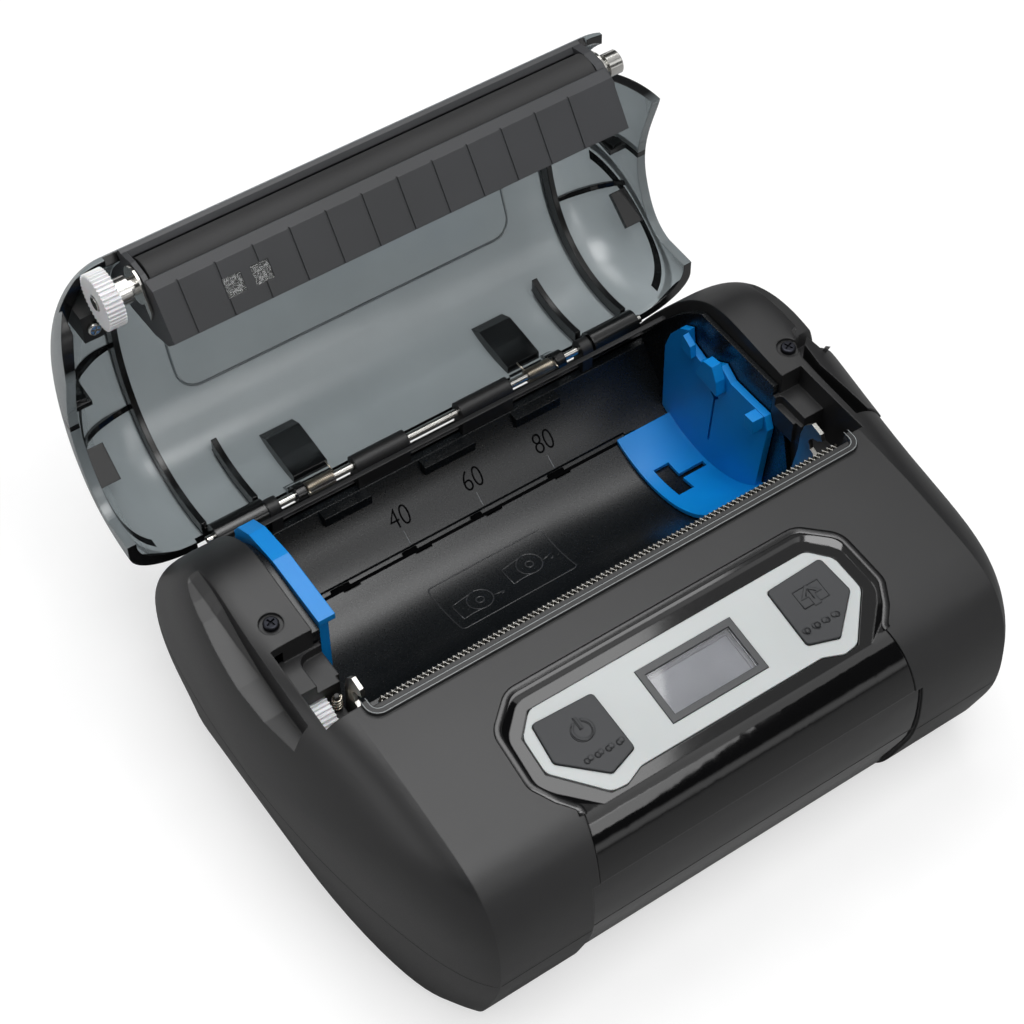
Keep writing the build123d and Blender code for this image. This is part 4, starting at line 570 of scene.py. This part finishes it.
# the open lid's inner skin at x, seen from the middle of its curve; turn is counted from straight down
def onLid(x, turn, lift=0.0):
    y0, z0 = lidForm["axis"]
    away = Vector((0, sin(turn), -cos(turn)))
    start = Vector((x, y0, z0)) * mm
    hit, spot = nodes["lid_shell"].ray_cast(start, away)[:2]
    return (spot if hit else start + away * .03) - away * lift * mm, away


def shutLidY(point):  # y in mm that a point of the open lid has when the lid is shut
    y0, z0 = lidForm["hinge"]
    cosine, sine = lidForm["shut"]
    return y0 - cosine * (point.y / mm - y0) - sine * (point.z / mm - z0)


def turnOf(shutY):  # turn at which the skin meets that y, in degrees: by 2 degrees first, then by 0.1
    def miss(t):
        return abs(shutLidY(onLid(0, radians(t))[0]) - shutY), t
    best = min(miss(t) for t in range(20, 170, 2))[1]
    return min(miss(best + k / 10) for k in range(-20, 21))[1]


nearTurn, farTurn = turnOf(lidForm["nearY"]), turnOf(lidForm["farY"])
skinRadius = (onLid(0, radians(nearTurn))[0] - Vector((0, lidForm["axis"][0], lidForm["axis"][1])) * mm).length / mm
bend = lidForm["corner"] / skinRadius * 180 / pi * (1 if farTurn > nearTurn else -1)
print("lid window turns", nearTurn, farTurn, "radius", round(skinRadius, 1))
sideSteps, cornerSteps, frontSteps = lidForm["sideSteps"], lidForm["cornerSteps"], lidForm["frontSteps"]
windowEdge = []  # left side, left corner, front, then the left half mirrored
for i in range(sideSteps + 1):
    windowEdge.append((-lidForm["half"], farTurn + (nearTurn + bend - farTurn) * i / sideSteps))
for i in range(1, cornerSteps + 1):
    a = pi / 2 * i / cornerSteps
    windowEdge.append((-lidForm["half"] + lidForm["corner"] * (1 - cos(a)), nearTurn + bend * (1 - sin(a))))
leftHalf = windowEdge[:]
for i in range(1, frontSteps):
    straight = 2 * lidForm["half"] - 2 * lidForm["corner"]
    windowEdge.append((-lidForm["half"] + lidForm["corner"] + straight * i / frontSteps, nearTurn))
windowEdge += [(-x, t) for x, t in reversed(leftHalf)]


def toLidAxis(point):
    return Vector((0, lidForm["axis"][0] * mm - point.y, lidForm["axis"][1] * mm - point.z)).normalized()


windowLine = [onLid(x, radians(t), -lidForm["sunk"])[0] for x, t in windowEdge]
addPiece("lidWindowEdge", *sweep([windowLine], lidForm["beadMm"] * mm, 8, .8, toLidAxis), "lid",
         finish["smoked_plastic"], slot="smoked_plastic")
for side in (-1, 1):
    points, faces = [], []
    for shutY in lidForm["webs"]:
        t = radians(turnOf(shutY))
        base = len(points)
        steps = lidForm["webSteps"]
        for i in range(steps + 1):
            x = side * (lidForm["webInner"] + (lidForm["webOuter"] - lidForm["webInner"]) * i / steps)
            foot, away = onLid(x, t, -lidForm["webRoot"])
            # the web starts low at its inner end, is full depth from about half way and dips at its outer end
            deep = lidForm["webDeep"] * (.35 + .65 * min(1, i / steps * 2.2)) * (1 if i < steps - 1 else .8)
            along = away.cross(Vector((1, 0, 0))) * lidForm["webThick"] / 2 * mm
            crest = foot - away * deep * mm
            points += [foot - along, foot + along, crest + along, crest - along]
        for i in range(steps):
            a, b = base + 4 * i, base + 4 * i + 4
            faces += [(a + k, a + (k + 1) % 4, b + (k + 1) % 4, b + k) for k in range(4)]
        faces += [(base + 3, base + 2, base + 1, base), tuple(base + 4 * steps + k for k in range(4))]
    addPiece("wingWebs" + ("Left" if side < 0 else "Right"), points, faces, "lid", thick, False, "smoked_plastic")
print("lid details made")


# symbols on the keys, raised from their tops

keys = {"frontY": -35.1, "frontZ": 58.3, "slope": radians(8.4), "line": .16, "lift": .02,
        "power": (-28.5, 6.0, 2.2), "powerGap": radians(34), "strokeFrom": 1.5, "strokeLong": 1.35,
        "feed": (29.2, 5.6), "sheetHalf": 3.2, "sheetTop": -2.4, "sheetLow": 1.9, "headHalf": 1.3,
        "dotStep": 2.56, "dotRow": 11.8, "dotRadius": .72, "dotTall": .5, "dotRings": 5, "dotSides": 20,
        "dotsLeft": -31.2, "dotsRight": 23.3}
panelUp = Vector((0, -sin(keys["slope"]), cos(keys["slope"])))


def onPanel(u, v):  # a point of the sloping panel's plane: u across it, v down the slope, in mm
    return Vector((u, keys["frontY"] - v * cos(keys["slope"]), keys["frontZ"] - v * sin(keys["slope"]))) * mm


def onKey(u, v, node, lift=keys["lift"]):  # the same point dropped on the key's real surface
    start = onPanel(u, v)
    hit, spot = nodes[node].ray_cast(start + panelUp * .01, -panelUp)[:2]
    return (spot if hit else start) + panelUp * lift * mm


# marks printed on the silicone keys: a shade darker than the keys
symbolGrey = mouldedPlastic({"name": "printedSiliconeGrey", "dark": "#202123", "light": "#242527", "roughness": .5,
                             "grainMm": .2, "bump": .1, "edgeMm": .05, "ior": 1.43})
u, v, r = keys["power"]
gap = keys["powerGap"]
turns = [gap + (2 * pi - 2 * gap) * i / 36 for i in range(37)]
circle = [onKey(u + r * sin(a), v - r * cos(a), "power_button") for a in turns]
bar = [onKey(u, v - r * keys["strokeFrom"] + r * keys["strokeLong"] * i / 5, "power_button") for i in range(6)]
addPiece("powerSymbol", *sweep([circle, bar], keys["line"] * mm, 6, .9, panelUp), "power_key", symbolGrey,
         slot="button_plastic")

u, v = keys["feed"]
wide, top, low, head = keys["sheetHalf"], keys["sheetTop"], keys["sheetLow"], keys["headHalf"]
sheetLine = [(u - wide, v + low), (u - wide, v + top), (u + wide, v + top), (u + wide, v + low), (u - wide, v + low)]
arrow = [[(u, v + 1.0), (u, v - 1.5)], [(u - head, v - .3), (u, v - 1.6), (u + head, v - .3)]]
feedLines = [[onKey(a, b, "feed_button") for a, b in run] for run in [sheetLine] + arrow]
addPiece("feedSymbol", *sweep(feedLines, keys["line"] * mm, 6, .9, panelUp), "feed_key", symbolGrey,
         slot="button_plastic")

rows, around, tall = keys["dotRings"], keys["dotSides"], keys["dotTall"]
for body, node, first in (("power_key", "power_button", keys["dotsLeft"]),
                          ("feed_key", "feed_button", keys["dotsRight"])):
    points, faces = [], []
    for n in range(4):  # four low domes in a row, rooted a little in the key
        middle = onKey(first + n * keys["dotStep"], keys["dotRow"], node, -keys["lift"])
        base = len(points)
        points.append(middle + panelUp * keys["dotRadius"] * tall * mm)
        for i in range(1, rows + 1):
            a = pi / 2 * i / rows
            for k in range(around):
                t = 2 * pi * k / around
                side = Vector((1, 0, 0)) * cos(t) + panelUp.cross(Vector((1, 0, 0))) * sin(t)
                points.append(middle + (side * sin(a) + panelUp * tall * cos(a)) * keys["dotRadius"] * mm)
        faces += [(base, base + 1 + k, base + 1 + (k + 1) % around) for k in range(around)]
        for i in range(rows - 1):
            for k in range(around):
                a0, m = base + 1 + i * around, (k + 1) % around
                faces.append((a0 + k, a0 + around + k, a0 + around + m, a0 + m))
    addPiece("touchDots." + body, points, faces, body, symbolGrey, slot="button_plastic")
print("key symbols made")


# dark rounded rim round the gloss surround, over its joint with the case

# corners of the right half: across the panel, down its slope, rounding radius
rim = {"corners": ((36.0, -8.8, 5.0), (43.0, -2.5, 5.0), (43.7, 10.5, 4.0), (41.0, 15.4, 5.0), (37.9, 19.0, 2.5),
                   (38.2, 20.6, 0)),
       "wideMm": .85, "flat": .22, "outMm": 1.2, "stepMm": 1.5, "evenOver": 3}
# rolled edge of the gloss surround: black, with a softer shine than the band
rimBlack = mouldedPlastic({"name": "satinAbsRim", "dark": "#0E0E0F", "light": "#131314", "roughness": .22,
                           "grainMm": .6, "bump": .04, "edgeMm": .3})


def roundedRun(corners):  # points along a run of straight lines whose corners are rounded
    run = []
    for i, (u, v, r) in enumerate(corners):
        if i in (0, len(corners) - 1) or not r:
            run.append(Vector((u, v)))
            continue
        here = Vector((u, v))
        back, on = Vector(corners[i - 1][:2]) - here, Vector(corners[i + 1][:2]) - here
        turn = pi - back.angle(on)
        reach = min(r * sin(turn / 2) / cos(turn / 2), back.length * .48, on.length * .48)
        first, last = here + back.normalized() * reach, here + on.normalized() * reach
        run += [first * (1 - t) ** 2 + here * 2 * t * (1 - t) + last * t * t for t in [k / 8 for k in range(9)]]
    return run


rightHalf = list(rim["corners"])
rimRun = roundedRun([(-u, v, r) for u, v, r in reversed(rightHalf)] + rightHalf)
spots = []
for i, point in enumerate(rimRun[:-1]):
    steps = max(1, int((rimRun[i + 1] - point).length / rim["stepMm"]))
    spots += [point + (rimRun[i + 1] - point) * k / steps for k in range(steps)]
lifts = []  # height of the case's skin over the panel's plane, read a little outside the joint
for i, spot in enumerate(spots):
    along = (spots[min(i + 1, len(spots) - 1)] - spots[max(i - 1, 0)]).normalized()
    start = onPanel(*(spot + Vector((along.y, -along.x)) * rim["outMm"]))
    hit, skin = nodes["upper_case"].ray_cast(start + panelUp * .012, -panelUp)[:2]
    lifts.append((skin - start).dot(panelUp) if hit else 0)
rimPath = []
for i, spot in enumerate(spots):  # the middle one of the heights round a spot leaves out single jumps
    near = sorted(lifts[max(0, i - rim["evenOver"]):i + rim["evenOver"] + 1])
    rimPath.append(onPanel(*spot) + panelUp * near[len(near) // 2])
addPiece("surroundRim", *sweep([rimPath], rim["wideMm"] * mm, 10, rim["flat"], panelUp), "case", rimBlack,
         slot="piano_plastic")
print("surround rim", len(rimPath), "points")


# the case's parting line, read off the lower half as a thin dark groove

seam = {"height": 28.0, "cutUnder": .06, "line": .16, "shrink": .99875, "stepMm": .8}
cut = bmesh.new()
cut.from_mesh(nodes["lower_case"].data)
cut.transform(nodes["lower_case"].matrix_world)
bmesh.ops.remove_doubles(cut, verts=cut.verts[:], dist=1e-6)
found = bmesh.ops.bisect_plane(cut, geom=cut.verts[:] + cut.edges[:] + cut.faces[:],
                               plane_co=(0, 0, (seam["height"] - seam["cutUnder"]) * mm), plane_no=(0, 0, 1))
loose = {e: True for e in found["geom_cut"] if isinstance(e, bmesh.types.BMEdge)}  # kept in order: the same each run
chains = []
while loose:
    onward = next(iter(loose))
    chain = [onward.verts[0]]
    while onward:
        loose.pop(onward)
        chain.append(onward.other_vert(chain[-1]))
        onward = next((e for e in chain[-1].link_edges if e in loose), None)
    chains.append([v.co.copy() for v in chain])
cut.free()
outer = max(chains, key=lambda c: sum((c[i] - c[i - 1]).length for i in range(1, len(c))))
seamPath = [outer[0]]
for p in outer[1:]:
    if (p - seamPath[-1]).length > seam["stepMm"] * mm:
        seamPath.append(p)
if (seamPath[0] - seamPath[-1]).length < seam["stepMm"] * mm:
    seamPath.pop()
for p in seamPath:  # sunk a little, so that the line stays within the part's own size
    p.x, p.y, p.z = p.x * seam["shrink"], p.y * seam["shrink"], seam["height"] * mm
print("seam points", len(seamPath), "half width", round(max(p.x for p in seamPath), 4))
addPiece("seamLine", *sweep([seamPath], seam["line"] * mm, 6, 1.0, Vector((0, 0, 1)), (0,)), "case",
         finish["chip_resin"], slot="chip_resin")


# hinge springs with their full number of turns, in place of the CAD's coarse coils

spring = {"y": 57.2, "z": 35.7, "near": 26.2, "far": 33.4, "turnRadius": 1.5, "wire": .2, "turns": 15,
          "stepsPerTurn": 20, "legBack": 2.6, "legFront": .9}


def torsionSpring(side):  # a leg to the back, the coil from its inner end outward, a leg to the front
    s = spring
    steps = s["turns"] * s["stepsPerTurn"]
    path = [(side * (s["near"] - .1), s["y"] + s["legBack"] + 1.0 * (1 - i / 4), s["z"] + s["turnRadius"] * .98)
            for i in range(4)]
    for i in range(steps + 1):
        a = 2 * pi * s["turns"] * i / steps
        x = side * (s["near"] + (s["far"] - s["near"]) * i / steps)
        path.append((x, s["y"] + s["turnRadius"] * sin(a), s["z"] + s["turnRadius"] * cos(a)))
    path += [(side * (s["far"] + .05), s["y"] - s["legFront"] * i, s["z"] + s["turnRadius"] - .1 * i)
             for i in range(1, 4)]
    return [Vector(p) * mm for p in path]


for name, side in (("hingeSpringLeft", -1), ("hingeSpringRight", 1)):
    coil = addPiece(name, *sweep([torsionSpring(side)], spring["wire"] * mm, 8, 1.0, Vector((1, 0, 0))), "case",
                    finish["spring_steel"], slot="spring_steel")
    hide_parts("torsion_spring_left" if side < 0 else "torsion_spring_right")
print("hinge springs made")


# floor, light and camera

# sky is the brightness from straight down (0) over the horizon (.5) to straight up (1)
room = {"floorSize": 3.0, "floorUnder": .0002, "floorGlow": .62, "skyStrength": 1.1,
        "sky": ((0, .1), (.49, .5), (.51, .95), (.55, .9), (.58, .03), (.86, .03), (.92, .45), (1, .5)),
        "lookFrom": (-.1813, -.2402, .4467), "lookAt": (.00131, .02652, .035), "roll": .07, "lens": 82.94}

# seamless studio paper: even and bright to the camera, also through clear pieces, a plain grey to the part
paper, tree, place, out = newMaterial("coatedPaperWhite")
speck = addNode(tree, "TexNoise", {"Scale": 60, "Detail": 2}, {"Vector": place})
tone = addNode(tree, "ValToRGB", {}, {"Fac": speck.outputs["Fac"]})
rampStops(tone, [(.3, "#A8A8A8"), (.7, "#ACACAC")])
rays = addNode(tree, "LightPath")
seen = addNode(tree, "Math", {"operation": "MAXIMUM"},
               {0: rays.outputs["Is Camera Ray"], 1: rays.outputs["Is Transmission Ray"]})
glow = addNode(tree, "Math", {"operation": "MULTIPLY", 1: room["floorGlow"]}, {0: seen.outputs[0]})
sheet = addNode(tree, "BsdfPrincipled", {"Roughness": .8, "Specular IOR Level": .1, "Emission Color": (1, 1, 1, 1)},
                {"Base Color": tone.outputs["Color"], "Emission Strength": glow.outputs[0]})
tree.links.new(sheet.outputs[0], out.inputs["Surface"])
far, under = room["floorSize"] / 2, -room["floorUnder"]
mesh = bpy.data.meshes.new("studioFloor")
mesh.from_pydata([(-far, -far, under), (far, -far, under), (far, far, under), (-far, far, under)], [], [(0, 1, 2, 3)])
mesh.materials.append(paper)
floor = bpy.data.objects.new("studioFloor", mesh)
bpy.context.collection.objects.link(floor)

world = bpy.data.worlds.new("studio")  # dark walls under a grey ceiling, with a bright strip over the horizon
bpy.context.scene.world = world
world.use_nodes = True
tree = world.node_tree
height = addNode(tree, "SeparateXYZ", {}, {"Vector": addNode(tree, "TexCoord").outputs["Generated"]})
height = addNode(tree, "MapRange", {"From Min": -1, "From Max": 1}, {"Value": height.outputs["Z"]})
ceiling = addNode(tree, "ValToRGB", {}, {"Fac": height.outputs["Result"]})
rampStops(ceiling, room["sky"])
tree.links.new(ceiling.outputs["Color"], tree.nodes["Background"].inputs["Color"])
tree.nodes["Background"].inputs["Strength"].default_value = room["skyStrength"]

lamps = [  # name, place, aim, width, height, watts, roll in degrees
    ("topSoftbox", (.12, .30, .92), (0, 0, .03), .56, .5, 3.6, 0),
    ("frontTopSoftbox", (-.02, -.22, .95), (0, 0, .03), .5, .4, 4.2, 0),
    ("leftSoftbox", (-.78, .28, .42), (0, 0, .03), .45, .4, 1.3, 0),
    ("frontSoftbox", (.24, -.50, .62), (0, -.05, .05), .5, .28, .55, -8),
    ("frontLowSoftbox", (.165, -.645, .44), (0, -.05, .05), .2, .24, .45, -24),
]
for name, spot, aim, wide, tall, power, roll in lamps:
    data = bpy.data.lights.new(name, "AREA")
    data.shape = "RECTANGLE"
    data.size, data.size_y, data.energy = wide, tall, power
    lamp = bpy.data.objects.new(name, data)
    lamp.location = spot
    turned = (Vector(aim) - Vector(spot)).to_track_quat("-Z", "Y").to_matrix()
    lamp.rotation_euler = (turned @ Matrix.Rotation(radians(roll), 3, "Z")).to_euler()
    bpy.context.collection.objects.link(lamp)

data = bpy.data.cameras.new("photoCamera")
data.lens, data.sensor_width, data.clip_start = room["lens"], 36, .01
camera = bpy.data.objects.new("photoCamera", data)
aim = (Vector(room["lookAt"]) - Vector(room["lookFrom"])).to_track_quat("-Z", "Y")
placed = Matrix.Translation(room["lookFrom"]) @ aim.to_matrix().to_4x4()
camera.matrix_world = placed @ Matrix.Rotation(radians(room["roll"]), 4, "Z")
bpy.context.collection.objects.link(camera)
bpy.context.scene.camera = camera
bpy.context.scene.view_settings.view_transform = "Standard"
print("studio set")
